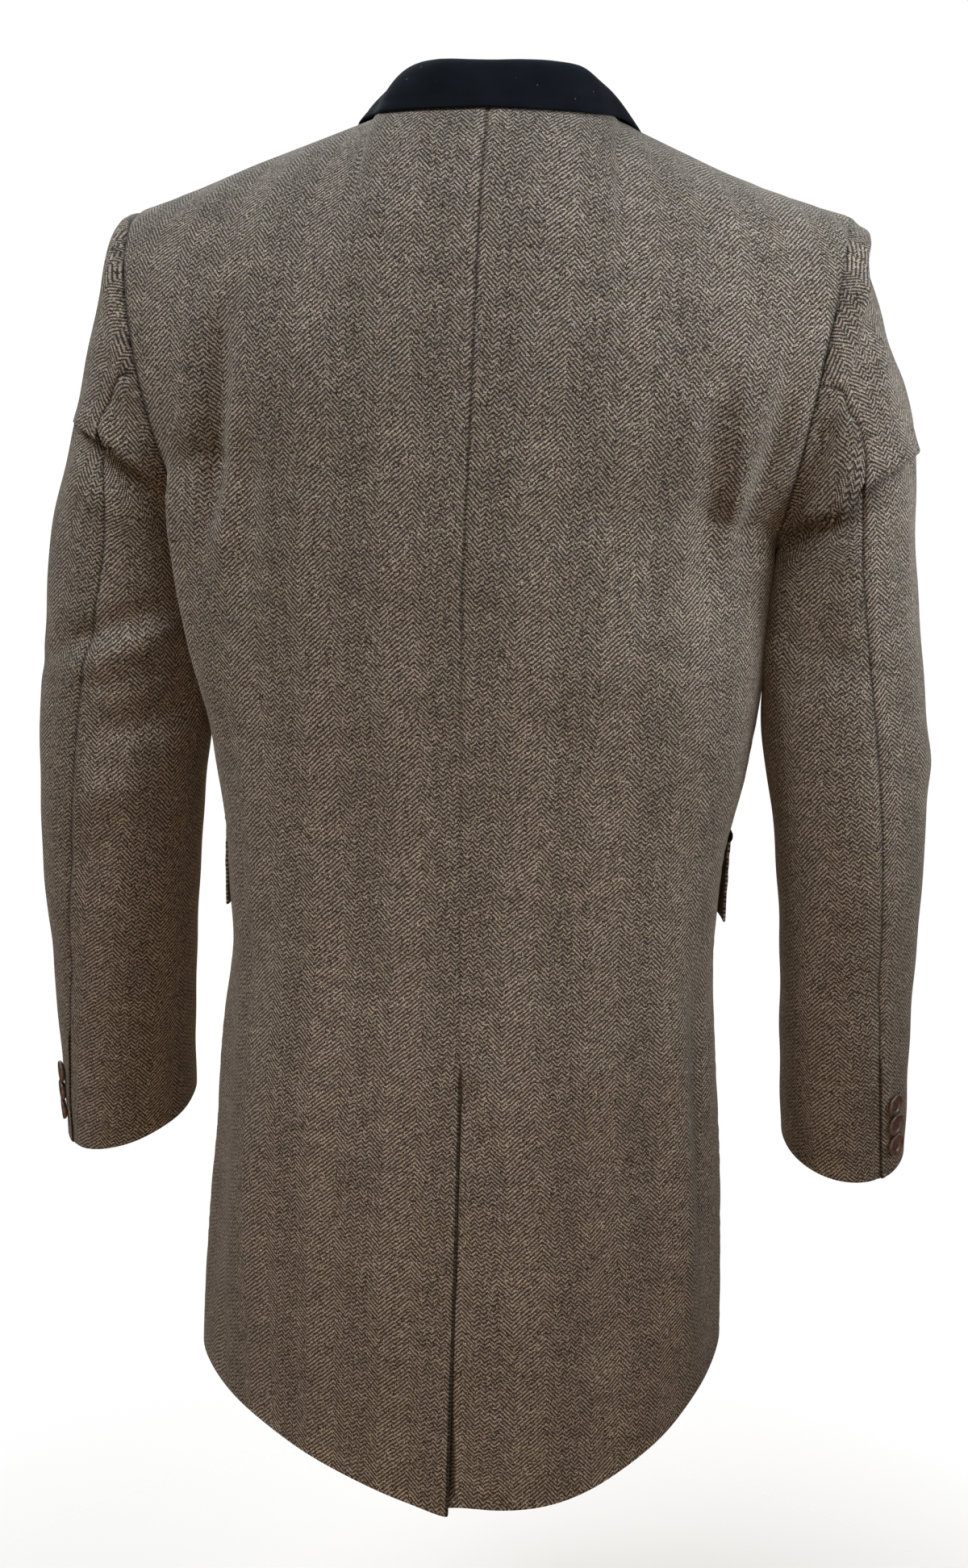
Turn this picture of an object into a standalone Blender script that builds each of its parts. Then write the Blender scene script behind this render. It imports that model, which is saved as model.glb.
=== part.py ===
"""A tweed overcoat in its worn, hollow shape, one thin-walled solid for each piece that is cut and sewn.

Metres. X runs to the wearer's left, Y to the back and Z up. The origin is the neck's middle at nape height.
"""
import bpy
import bmesh
import numpy as np
from math import cos, pi, radians, sin

# Walls and gaps
CLOTH = 0.0020
VELVET = 0.0022
SEAM = 0.0003
LAYER = 0.0005

# Levels up the torso: 0 hem, 1 underarm, 2 across the blades, 3 neckline and shoulder seam
UNDERARM_Z = -0.267
BLADE_Z = -0.178
HEM_BACK = -0.892
HEM_FRONT = -0.872
HEM_SIDE = {1: -0.844, -1: -0.820}
HEM_SWEEP = {1: 1.13, -1: 2.45}
SIDE_SEAM_Y = 0.022

# Rings of the torso, lowest first: half its width on either hand, its depth to the back and to the front,
# and how square it is at the front and at the two backs
TORSO_COLUMNS = ("z", "left", "right", "back", "front", "square", "square_left", "square_right")
TORSO = (
    (-0.900, 0.1950, 0.1795, 0.170, 0.166, 2.15, 1.75, 2.20),
    (-0.840, 0.1945, 0.1790, 0.164, 0.162, 2.15, 1.80, 2.20),
    (-0.760, 0.1908, 0.1770, 0.153, 0.156, 2.20, 1.95, 2.20),
    (-0.680, 0.1840, 0.1730, 0.142, 0.150, 2.25, 2.15, 2.20),
    (-0.610, 0.1795, 0.1670, 0.132, 0.144, 2.30, 2.30, 2.30),
    (-0.545, 0.1715, 0.1630, 0.122, 0.138, 2.30, 2.30, 2.30),
    (-0.480, 0.1750, 0.1668, 0.116, 0.135, 2.30, 2.30, 2.30),
    (-0.410, 0.1840, 0.1812, 0.114, 0.136, 2.35, 2.35, 2.35),
    (-0.340, 0.1885, 0.1902, 0.116, 0.140, 2.40, 2.40, 2.40),
    (-0.267, 0.1880, 0.1880, 0.119, 0.142, 2.40, 2.40, 2.40),
    (-0.178, 0.2000, 0.2000, 0.118, 0.134, 2.40, 2.40, 2.40),
)

# Armhole loop, from the shoulder point round by the back
ARMHOLE_MIDDLE = (0.2125, -0.003, -0.160)
ARMHOLE_RISE = 0.107
ARMHOLE_LEAN = 0.0225
ARMHOLE_BACK = {1: 0.0115, -1: 0.0025}
ARMHOLE_FRONT = 0.0115
ARMHOLE_DEPTH = (0.072, 0.075)
SHOULDER_REACH = {1: 0.002, -1: -0.005}
SHOULDER_LIFT = {1: 0.000, -1: 0.003}

# The backs hang from the armholes: the angle where each turns in to the side, the levels between which it
# comes to hang, how often the turn is rounded, and how late the line's end is drawn to the side seam
ARMHOLE_TURN = {1: radians(120), -1: radians(150)}
HANG = {1: (0.70, 1.0), -1: (0.86, 1.0)}
TURN_ROUNDS = 6
END_POWER = 6

# Neck
NAPE = (0.0, 0.058, 0.012)
NECK_POINT = (0.078, -0.010, 0.010)
SHOULDER_SAG = {1: 0.000, -1: 0.005}
COLLAR_SHIFT = -0.0028
BREAK_Z = -0.310
FRONT_LAP = 0.022
FRONT_TUCK = 0.0068

NECK_SQUARE = 2.2
BLADE_BOW = 2.3

# Levels between which the side seam moves to the armhole's depth and to its width, the heights between
# which the right front comes out from under the left, and how far from the middle a lap is pushed in
SIDE_SEAM_MOVE = (0.55, 1.0)
SIDE_SEAM_JOIN = (0.9, 1.0)
FRONT_TUCK_END = (-0.23, -0.19)
TUCK_START = 0.004
TUCK_END = {True: 0.035, False: 0.075}

# How far the centre back seam strays to the wearer's left at each height
STRAY_COLUMNS = ("z", "shift")
STRAY = ((-0.90, 0.0000), (-0.60, 0.0010), (-0.42, 0.0050), (-0.27, 0.0055), (-0.18, 0.0030), (0.01, 0.0))

# Centre back vent
VENT_TOP = -0.603
VENT_LAP = 0.040
VENT_TUCK = 0.0036
VENT_WIDENS = 0.020
VENT_TUCK_START = (-0.565, -0.600)

# Rings of the two sleeves from the armhole to the cuff: the inner and the outer end of each ring seen from
# behind, its middle in depth, half its depth, how far it tips down to the back, the share of the armhole's
# swing it keeps, how far its back and front bulge outward, and the two seams' angles
SLEEVE_COLUMNS = (
    "in_x", "in_z", "out_x", "out_z", "mid_y", "half_y", "tip", "swing", "bulge", "hind", "fore",
)
SLEEVE = {
    1: (
        (0.1930, -0.2700, 0.2475, -0.0585, -0.003, 0.0735, 0.00, 1.0, 0.004, 89, 255),
        (0.1945, -0.2735, 0.2530, -0.0860, -0.003, 0.0735, 0.00, 0.8, 0.008, 87, 254),
        (0.1950, -0.2785, 0.2652, -0.1350, -0.003, 0.0720, 0.00, 0.6, 0.009, 82, 253),
        (0.1950, -0.2860, 0.2830, -0.2000, -0.002, 0.0690, 0.00, 0.4, 0.006, 92, 252),
        (0.1945, -0.3020, 0.3000, -0.2660, -0.001, 0.0660, 0.00, 0.2, 0.003, 91, 251),
        (0.1940, -0.3370, 0.3080, -0.3350, 0.000, 0.0630, 0.00, 0.0, 0.000, 79, 250),
        (0.1932, -0.3900, 0.3122, -0.3900, 0.000, 0.0620, -0.02, 0.0, 0.000, 71, 248),
        (0.2002, -0.4500, 0.3148, -0.4500, -0.004, 0.0610, -0.06, 0.0, 0.000, 68, 246),
        (0.2065, -0.5200, 0.3160, -0.5200, -0.013, 0.0590, -0.12, 0.0, 0.000, 63, 244),
        (0.2115, -0.5880, 0.3140, -0.5900, -0.024, 0.0560, -0.16, 0.0, 0.000, 55, 243),
        (0.2150, -0.6400, 0.3130, -0.6500, -0.034, 0.0535, -0.20, 0.0, 0.000, 46, 242),
        (0.2170, -0.6880, 0.3120, -0.7140, -0.044, 0.0515, -0.25, 0.0, 0.000, 38, 241),
    ),
    -1: (
        (0.1930, -0.2700, 0.2456, -0.0570, -0.003, 0.0735, 0.00, 1.0, 0.004, 89, 255),
        (0.1940, -0.2735, 0.2448, -0.0830, -0.003, 0.0735, 0.00, 0.8, 0.008, 87, 254),
        (0.1945, -0.2785, 0.2615, -0.1220, -0.003, 0.0725, 0.00, 0.6, 0.009, 84, 253),
        (0.1945, -0.2860, 0.2803, -0.1900, -0.002, 0.0700, 0.00, 0.4, 0.006, 90, 252),
        (0.1928, -0.3020, 0.2852, -0.2500, -0.001, 0.0665, 0.00, 0.2, 0.003, 85, 251),
        (0.1908, -0.3370, 0.2935, -0.3250, 0.000, 0.0635, 0.00, 0.0, 0.000, 76, 250),
        (0.1892, -0.3900, 0.3010, -0.3880, 0.000, 0.0620, -0.02, 0.0, 0.000, 71, 248),
        (0.2003, -0.4500, 0.3045, -0.4500, -0.003, 0.0610, -0.06, 0.0, 0.000, 70, 246),
        (0.2078, -0.5200, 0.3045, -0.5200, -0.011, 0.0590, -0.13, 0.0, 0.000, 67, 244),
        (0.2125, -0.5850, 0.3050, -0.5850, -0.021, 0.0560, -0.19, 0.0, 0.000, 64, 243),
        (0.2160, -0.6400, 0.3065, -0.6400, -0.030, 0.0535, -0.25, 0.0, 0.000, 60, 242),
        (0.2195, -0.6910, 0.3090, -0.6970, -0.040, 0.0515, -0.29, 0.0, 0.000, 56, 241),
    ),
}
ARMHOLE_HIND = 90
ARMHOLE_FORE = 255
HEAD_EASE, UNDERARM_EASE = 0.0002, 0.0013
SLEEVE_RADIUS = 0.062

# Soft folds: where each starts and ends on its panel as (across, level), half its width, and its height,
# which is below zero for a trough
FOLD_COLUMNS = ("u0", "w0", "u1", "w1", "width", "height")
FOLDS = {
    "back_left": (
        (0.86, 0.05, 0.80, 0.62, 0.026, -0.0045),
        (0.66, 0.02, 0.63, 0.55, 0.030, 0.0035),
        (0.74, 2.30, 0.68, 1.20, 0.022, -0.0035),
        (0.87, 1.95, 0.85, 1.05, 0.018, 0.0030),
    ),
    "back_right": (
        (0.73, 0.05, 0.65, 0.62, 0.018, 0.0055),
        (0.83, 0.08, 0.80, 0.60, 0.018, -0.0050),
        (0.45, 0.02, 0.50, 0.45, 0.032, -0.0035),
        (0.75, 2.25, 0.70, 1.15, 0.022, -0.0035),
        (0.87, 1.90, 0.86, 1.05, 0.018, 0.0030),
    ),
    "front_left": (
        (0.70, 0.02, 0.72, 0.50, 0.030, 0.0050),
        (0.45, 0.02, 0.50, 0.40, 0.030, -0.0040),
    ),
    "front_right": (
        (0.72, 0.02, 0.70, 0.50, 0.030, 0.0050),
        (0.48, 0.02, 0.46, 0.42, 0.030, -0.0040),
    ),
}
# Folds of a sleeve in the same columns, but each place is an angle round the sleeve and a height
SLEEVE_FOLDS = {
    1: (
        (20, -0.192, 117, -0.218, 0.012, -0.0055),
        (30, -0.166, 105, -0.192, 0.014, 0.0040),
        (61, -0.360, 136, -0.328, 0.014, 0.0050),
        (70, -0.400, 163, -0.370, 0.014, -0.0055),
        (195, -0.395, 280, -0.425, 0.014, -0.0050),
        (0, -0.560, 90, -0.585, 0.016, -0.0025),
    ),
    -1: (
        (0, -0.198, 150, -0.250, 0.012, -0.0075),
        (5, -0.178, 140, -0.226, 0.014, 0.0045),
        (60, -0.345, 165, -0.308, 0.016, -0.0045),
        (-30, -0.415, 60, -0.395, 0.018, 0.0030),
        (195, -0.400, 285, -0.430, 0.014, -0.0050),
        (10, -0.545, 100, -0.565, 0.016, -0.0025),
    ),
}
# A fold's rise and fall as shares of its length, the size of a panel that its places are measured by,
# and where folds die out: near a panel's edge, and at a sleeve's head by its rings
FOLD_RISE = (-0.12, 0.18)
FOLD_FALL = (0.82, 1.12)
PANEL_WIDTH = 0.26
SKIRT_LENGTH, UPPER_LENGTH = 0.45, 0.16
EDGE_FADE = (0.93, 1.0)
HEAD_FADE = (0.2, 1.0)

# Collar, half of it from the centre back to its front end: the fold, then where its edge lies on the body
COLLAR_COLUMNS = ("fold_x", "fold_y", "fold_z", "front", "u", "w")
COLLAR = (
    (0.0000, 0.0490, 0.0380, 0, 0.000, 2.830),
    (0.0180, 0.0470, 0.0385, 0, 0.085, 2.830),
    (0.0340, 0.0400, 0.0390, 0, 0.175, 2.835),
    (0.0485, 0.0260, 0.0380, 0, 0.275, 2.850),
    (0.0555, 0.0080, 0.0335, 0, 0.375, 2.905),
    (0.0600, -0.0130, 0.0265, 0, 0.455, 2.985),
    (0.0635, -0.0340, 0.0165, 1, 0.140, 2.860),
    (0.0655, -0.0540, 0.0045, 1, 0.215, 2.740),
    (0.0665, -0.0710, -0.0100, 1, 0.280, 2.655),
)

# The edge's gap over the body, and how far in and down from the fold the fall begins and the stand ends
COLLAR_GAP = 0.0016
FALL_IN, FALL_DOWN = 0.0022, 0.0012
FALL_CROWN = 0.0050
STAND_IN, STAND_DOWN = 0.0030, 0.0052
STAND_LIFT = 0.0021
STAND_WALL = 0.0018
NECK_FOLD_X = 0.0615

# Lapel: level on the front and its width over the chest there, then the levels of the two ends of its top
LAPEL_COLUMNS = ("w", "width")
LAPEL = ((0.945, 0.006), (1.15, 0.026), (1.50, 0.050), (1.90, 0.070), (2.30, 0.083), (2.65, 0.088))
LAPEL_TOP = (2.646, 2.590)
LAPEL_LAYER = 0.0010
LAPEL_ROLL = 0.0014
LAPEL_ROLL_TURN = 0.9 * pi

# Pockets on the fronts
POCKET_TOP = {1: -0.476, -1: -0.485}
POCKET_REAR = 0.985
FLAP_LENGTH = 0.158
FLAP_DROP = 0.060
FLAP_LIFT = 0.0040
FLAP_FRONT_LIFT = 0.35
POCKET_LAYER = 0.0011
JET_HEIGHT = 0.006
JET_GAP = 0.0004

# Buttons: radius, height and where they sit, then their section as shares of the radius and the height
FRONT_BUTTON = (0.0135, 0.0042)
CUFF_BUTTON = (0.0079, 0.0034)
FRONT_BUTTON_Z = (-0.335, -0.450, -0.565)
CUFF_BUTTON_UP = (0.0240, 0.0405, 0.0570)
CUFF_BUTTON_OFFSET = 0.0125
CUFF_BUTTON_LIFT = 0.0009
CUFF_LINE = 0.95
BUTTON_COLUMNS = ("radius", "height")
BUTTON_SECTION = (
    (0.00, 0.00),
    (0.62, 0.00),
    (0.94, 0.32),
    (1.00, 0.70),
    (0.93, 1.00),
    (0.74, 0.92),
    (0.60, 0.62),
    (0.00, 0.56),
)
BUTTON_STEPS = 16

# Grids: columns and rows of the panels, and the levels just below and above the vent's top
BACK_COLUMNS, FRONT_COLUMNS = 13, 11
VENT_ROWS, SKIRT_ROWS, ARMHOLE_ROWS = 7, 9, 6
VENT_LEVEL_BELOW, VENT_LEVEL_ABOVE = 0.033, 0.070
TOP_COLUMNS, UNDER_COLUMNS = 13, 11
FALL_ROWS, FALL_COLUMNS, STAND_COLUMNS = 6, 13, 11
STAND_END = 6.8
LAPEL_ROWS, LAPEL_COLUMNS_ACROSS = 15, 6
FLAP_ROWS, FLAP_COLUMNS = 5, 9
# Fine lines that points are spread along, the steps that normals are taken over, and points that are one
LINE_STEPS, LAP_STEPS, NECK_STEPS, SEAM_STEPS, CUFF_STEPS = 61, 8, 30, 21, 41
PANEL_STEP, SLEEVE_STEP = 0.002, 0.01
SAME_POINT = 1e-4
MERGE = 1e-5


def columns(names, rows):
    """The columns of a table by name."""
    return {name: np.array(values, float) for name, values in zip(names, zip(*rows))}


def unit(ways):
    """Vectors brought to a length of one."""
    return ways / np.linalg.norm(ways, axis=-1, keepdims=True)


TORSO_TABLE = columns(TORSO_COLUMNS, TORSO)
LAPEL_TABLE = columns(LAPEL_COLUMNS, LAPEL)
STRAY_TABLE = columns(STRAY_COLUMNS, STRAY)


def smooth(at, xs, ys):
    """A smooth curve through a table's points, level past its ends."""
    xs, ys = np.asarray(xs, float), np.asarray(ys, float)
    slopes = np.gradient(ys, xs)
    at = np.clip(at, xs[0], xs[-1])
    i = np.clip(np.searchsorted(xs, at) - 1, 0, len(xs) - 2)
    step = xs[i + 1] - xs[i]
    t = (at - xs[i]) / step
    return (
        ys[i] * (1 + 2 * t) * (1 - t) ** 2
        + slopes[i] * step * t * (1 - t) ** 2
        + ys[i + 1] * t * t * (3 - 2 * t)
        + slopes[i + 1] * step * t * t * (t - 1)
    )


def ease(value, start, end):
    """0 before start, 1 after end, and a soft step between."""
    t = np.clip((value - start) / (end - start), 0.0, 1.0)
    return t * t * (3 - 2 * t)


def spread(points, shares):
    """Points at given shares of the length of a line of points."""
    points = np.asarray(points, float)
    run = np.concatenate([[0.0], np.cumsum(np.linalg.norm(np.diff(points, axis=0), axis=1))])
    return np.stack([np.interp(shares, run / run[-1], points[:, k]) for k in range(3)], -1)


def armhole_swing(side, s):
    """How far the armhole swings out at its back, or in at its front."""
    return (ARMHOLE_BACK[side] if s >= 0 else ARMHOLE_FRONT) * s


def armhole(side, angle):
    """A point of the armhole, by its angle from the shoulder round the back, half a turn to the underarm."""
    c, s = cos(angle), sin(angle)
    x = ARMHOLE_MIDDLE[0] + ARMHOLE_LEAN * c + armhole_swing(side, s) + SHOULDER_REACH[side] * (1 + c) / 2
    deep = ARMHOLE_DEPTH[0] if s >= 0 else ARMHOLE_DEPTH[1]
    z = ARMHOLE_MIDDLE[2] + ARMHOLE_RISE * c + SHOULDER_LIFT[side] * (1 + c) / 2
    return np.array([x, ARMHOLE_MIDDLE[1] + deep * s, z])


def roll_start(z):
    """How far from the middle the front's edge is: past it below the break, then along the lapel's roll."""
    share = np.clip((z - BREAK_Z) / (NECK_POINT[2] - BREAK_Z), 0.0, 1.0)
    return -FRONT_LAP + (NECK_POINT[0] + FRONT_LAP) * share


def hung_line(side, edge, depth, turn, end):
    """A line seen from above that hangs from the armhole: bowed to its turn, then along the armhole's edge."""
    even = np.linspace(0, 1, LINE_STEPS)
    corner = armhole(side, turn)
    bowed = np.stack([corner[0] * even, depth - (depth - corner[1]) * even**BLADE_BOW, 0 * even], -1)
    tail = np.array([armhole(side, angle) for angle in np.linspace(turn, end, SEAM_STEPS)])
    line = spread(np.concatenate([bowed, tail * (1, 1, 0)]), even)
    for _ in range(TURN_ROUNDS):
        line[1:-1] = (line[:-2] + 2 * line[1:-1] + line[2:]) / 4
    line[:, :2] += (edge[:2] - line[-1, :2]) * even[:, None] ** END_POWER
    return spread(line, even)


def cross_line(side, edge, depth, z_middle, square, hung, bow, start, over=None):
    """One line across a panel from the middle, or from a lap past it, to the side seam or the armhole."""
    even = np.linspace(0, 1, LINE_STEPS)
    turn = even * pi / 2
    power = 2 / square
    round_x = edge[0] * np.sin(turn) ** power
    round_y = edge[1] + (depth - edge[1]) * np.cos(turn) ** power
    rounded = spread(np.stack([round_x, round_y, 0 * turn], -1), even)
    line = rounded * (1 - bow) + hung * bow
    if start < 0:
        lap_x = np.linspace(start, 0, LAP_STEPS, endpoint=False)
        under = line if over is None else over
        lap = np.stack([lap_x, np.interp(-lap_x, under[:, 0], under[:, 1]), 0 * lap_x], -1)
        line = np.concatenate([lap, line])
    elif start > 0:
        cut = np.array([start, np.interp(start, line[:, 0], line[:, 1]), 0.0])
        line = np.concatenate([[cut], line[line[:, 0] > start + SAME_POINT]])
    share = np.clip(line[:, 0] / edge[0], 0, 1)
    line[:, 2] = z_middle + (edge[2] - z_middle) * share ** HEM_SWEEP[side]
    return line


def vent_line(z):
    """How far the right back runs on under the left at this height, and how far it is pushed in there."""
    lap = VENT_LAP * float(ease(-z, -VENT_TOP, -VENT_TOP + VENT_WIDENS))
    return lap, VENT_TUCK * float(ease(z, *VENT_TUCK_START))


def level_line(side, back, w):
    """The line across a panel at a level from the hem up to the blades."""
    table = TORSO_TABLE
    width = table["left"] if side > 0 else table["right"]
    deep = table["back"] if back else table["front"]
    sign = 1 if back else -1
    hem = HEM_BACK if back else HEM_FRONT
    angle = pi
    if w <= 1:
        z_middle = hem + (UNDERARM_Z - hem) * w
        z_edge = HEM_SIDE[side] + (UNDERARM_Z - HEM_SIDE[side]) * w
        y_edge = SIDE_SEAM_Y + (ARMHOLE_MIDDLE[1] - SIDE_SEAM_Y) * float(ease(w, *SIDE_SEAM_MOVE))
        edge = np.array([smooth(z_edge, table["z"], width), y_edge, z_edge])
        edge[0] += (armhole(side, pi)[0] - edge[0]) * float(ease(w, *SIDE_SEAM_JOIN))
        bow = float(ease(w, *HANG[side])) if back else 0.0
    else:
        angle -= (w - 1) * pi / 2 * sign
        edge = armhole(side, angle)
        z_middle = UNDERARM_Z + (BLADE_Z - UNDERARM_Z) * (w - 1)
        bow = 1.0 if back else float(ease(w, 1.0, 2.0))
    depth = sign * float(smooth(z_middle, table["z"], deep))
    corner = "square" if not back else "square_left" if side > 0 else "square_right"
    square = float(smooth(z_middle, table["z"], table[corner]))
    start, tuck = 0.0, 0.0
    if not back:
        start = float(roll_start(z_middle))
        tuck = FRONT_TUCK * float(1 - ease(z_middle, *FRONT_TUCK_END)) if side < 0 else 0.0
    elif side < 0:
        lap, tuck = vent_line(z_middle)
        start = -lap
    over = level_line(1, True, w) if back and start < 0 else None
    turn = min(ARMHOLE_TURN[side], angle) if back else angle
    hung = hung_line(side, edge, depth, turn, angle)
    line = cross_line(side, edge, depth, z_middle, square, hung, bow, start, over)
    line[:, 1] -= sign * tuck * (1 - ease(line[:, 0], TUCK_START, TUCK_END[back]))
    if back:
        stray = side * float(smooth(z_middle, STRAY_TABLE["z"], STRAY_TABLE["shift"]))
        line[:, 0] += stray * (1 - np.clip(line[:, 0] / edge[0], 0, 1)) ** 2
    return line


def top_line(side, back):
    """The neckline and the shoulder seam, or for a front the shoulder seam alone."""
    neck, shoulder = np.array(NECK_POINT), armhole(side, 0.0)
    share = np.linspace(0, 1, SEAM_STEPS)[:, None]
    seam = neck + (shoulder - neck) * share
    seam[:, 2] -= SHOULDER_SAG[side] * 4 * (share * (1 - share))[:, 0]
    if not back:
        return seam
    turn = np.linspace(0, pi / 2, NECK_STEPS, endpoint=False)
    power = 2 / NECK_SQUARE
    x = neck[0] * np.sin(turn) ** power
    y = neck[1] + (NAPE[1] - neck[1]) * np.cos(turn) ** power
    return np.concatenate([np.stack([x, y, NAPE[2] + (neck[2] - NAPE[2]) * x / neck[0]], -1), seam])


def body_line(side, back, w, shares):
    """Points across a panel at one level, at given shares of the way from the middle to its edge."""
    shares = np.asarray(shares, float)
    if w <= 2:
        return spread(level_line(side, back, w), shares)
    turn = (3 - w) * pi / 2
    to_edge = np.append(shares, 1.0)
    low, top = spread(level_line(side, back, 2.0), to_edge), spread(top_line(side, back), to_edge)
    points = top + (low - top) * np.array([1 - cos(turn), sin(turn), 1 - cos(turn)])
    end = armhole(side, turn if back else -turn)
    return points[:-1] + (end - points[-1]) * (shares**3)[:, None]


def body_point(side, back, u, w):
    """One point of a torso panel, on the wearer's left, before its folds."""
    return body_line(side, back, w, [u])[0]


def body_normals(side, back, w, shares):
    """Outward unit normals along one level of a torso panel."""
    low, high = max(w - PANEL_STEP, 0.0), min(w + PANEL_STEP, 3.0)
    along = body_line(side, back, high, shares) - body_line(side, back, low, shares)
    before, after = np.maximum(shares - PANEL_STEP, 0), np.minimum(shares + PANEL_STEP, 1)
    across = body_line(side, back, w, after) - body_line(side, back, w, before)
    return unit(np.cross(along, across) * (1 if back else -1))


def fold_height(folds, across, along, width, length):
    """The summed height of a panel's soft folds. The width and length turn its two measures into metres."""
    total = 0.0
    for row in folds:
        fold = dict(zip(FOLD_COLUMNS, row))
        run = np.array([(fold["u1"] - fold["u0"]) * width, (fold["w1"] - fold["w0"]) * length])
        size = np.hypot(*run)
        x, y = (across - fold["u0"]) * width, (along - fold["w0"]) * length
        t = (x * run[0] + y * run[1]) / size**2
        away = (x * run[1] - y * run[0]) / size
        bump = fold["height"] * np.exp(-((away / fold["width"]) ** 2))
        total += bump * ease(t, *FOLD_RISE) * (1 - ease(t, *FOLD_FALL))
    return total


def body_lift(name, shares, w):
    """The height of a torso panel's folds, which die out at its edge."""
    length = SKIRT_LENGTH if w < 1 else UPPER_LENGTH
    return fold_height(FOLDS[name], shares, w, PANEL_WIDTH, length) * (1 - ease(shares, *EDGE_FADE))


def level_rows():
    """The levels at which the torso panels have their rows."""
    vent = (VENT_TOP - HEM_BACK) / (UNDERARM_Z - HEM_BACK)
    below = np.linspace(0, vent - VENT_LEVEL_BELOW, VENT_ROWS)
    above = np.linspace(vent + VENT_LEVEL_ABOVE, 1, SKIRT_ROWS)
    upper = 1 + np.arange(1, 2 * ARMHOLE_ROWS + 1) / ARMHOLE_ROWS
    return np.concatenate([below, [vent], above, upper])


def body_grid(name, side, back, levels, shares):
    """The outer points of a torso panel and its outward normals, on the wearer's left."""
    grid = np.array([body_line(side, back, w, shares) for w in levels])
    normal = np.array([body_normals(side, back, w, shares) for w in levels])
    lift = np.array([body_lift(name, shares, w) for w in levels])
    return grid + normal * lift[..., None], normal


def mirrored(points, side):
    """Points moved to the wearer's right if the side is below zero."""
    return points * np.array([side, 1, 1])


def inset(points, sides, amount):
    """Moves the rim of a grid inward along its own lines, so that sewn pieces stay a seam apart."""
    first_row, last_row, first_column, last_column = sides
    points = points.copy()

    def pull(edge, inner):
        return edge + unit(inner - edge) * amount

    if first_row:
        points[0] = pull(points[0], points[1])
    if last_row:
        points[-1] = pull(points[-1], points[-2])
    if first_column:
        points[:, 0] = pull(points[:, 0], points[:, 1])
    if last_column:
        points[:, -1] = pull(points[:, -1], points[:, -2])
    return points


def add_object(name, mesh, material):
    """Puts a mesh into the coat's collection with its material."""
    part = bpy.data.objects.new(name, mesh)
    mesh.materials.append(material)
    coat.objects.link(part)
    return part


def wall(name, outer, normal, thickness, material, sides=(1, 1, 1, 1)):
    """A closed wall between a grid of outer points and the same grid moved in by its thickness."""
    inner = inset(outer - normal * thickness, sides, SEAM / 2)
    outer = inset(outer, sides, SEAM / 2)
    rows, count = outer.shape[:2]
    bm = bmesh.new()
    layers = [[[bm.verts.new(p) for p in row] for row in layer] for layer in (outer, inner)]
    for layer, grid in enumerate(layers):
        for r in range(rows - 1):
            for c in range(count - 1):
                ring = [grid[r][c], grid[r][c + 1], grid[r + 1][c + 1], grid[r + 1][c]]
                bm.faces.new(ring if layer else ring[::-1])
    rim = [(0, c) for c in range(count - 1)] + [(r, count - 1) for r in range(rows - 1)]
    rim += [(rows - 1, c) for c in range(count - 1, 0, -1)] + [(r, 0) for r in range(rows - 1, 0, -1)]
    for i, (r, c) in enumerate(rim):
        r2, c2 = rim[(i + 1) % len(rim)]
        bm.faces.new([layers[0][r][c], layers[0][r2][c2], layers[1][r2][c2], layers[1][r][c]])
    bmesh.ops.recalc_face_normals(bm, faces=bm.faces)
    mesh = bpy.data.meshes.new(name)
    bm.to_mesh(mesh)
    bm.free()
    return add_object(name, mesh, material)


def new_material(name, colour, roughness):
    """A plain material for one piece."""
    material = bpy.data.materials.new(name)
    material.use_nodes = True
    shader = material.node_tree.nodes["Principled BSDF"]
    shader.inputs["Base Color"].default_value = (*colour, 1.0)
    shader.inputs["Roughness"].default_value = roughness
    return material


def make_bodies(tweed):
    """The two backs and the two fronts."""
    levels = level_rows()
    for side, hand in ((1, "left"), (-1, "right")):
        for back, count in ((True, BACK_COLUMNS), (False, FRONT_COLUMNS)):
            name = f"{'back' if back else 'front'}_{hand}"
            grid, normal = body_grid(name, side, back, levels, np.linspace(0, 1, count + 1))
            wall(name, mirrored(grid, side), mirrored(normal, side), CLOTH, tweed(name))


def sleeve_table(side):
    """A sleeve's rings by column, with the ring number of each."""
    table = columns(SLEEVE_COLUMNS, SLEEVE[side])
    return table, np.arange(1, len(SLEEVE[side]) + 1)


def sleeve_ring(side, ring, angle):
    """A point of a sleeve before its folds. Ring 0 is the armhole."""
    table, _ = sleeve_table(side)
    i = ring - 1
    inner = np.array([table["in_x"][i], table["mid_y"][i], table["in_z"][i]])
    outer = np.array([table["out_x"][i], table["mid_y"][i], table["out_z"][i]])
    c, s = cos(angle), sin(angle)
    point = (inner + outer) / 2 + (outer - inner) / 2 * c
    point[0] += table["swing"][i] * armhole_swing(side, s) + table["bulge"][i] * s * s
    point[1] += table["half_y"][i] * s
    point[2] += table["tip"][i] * table["half_y"][i] * s
    return point


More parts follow.
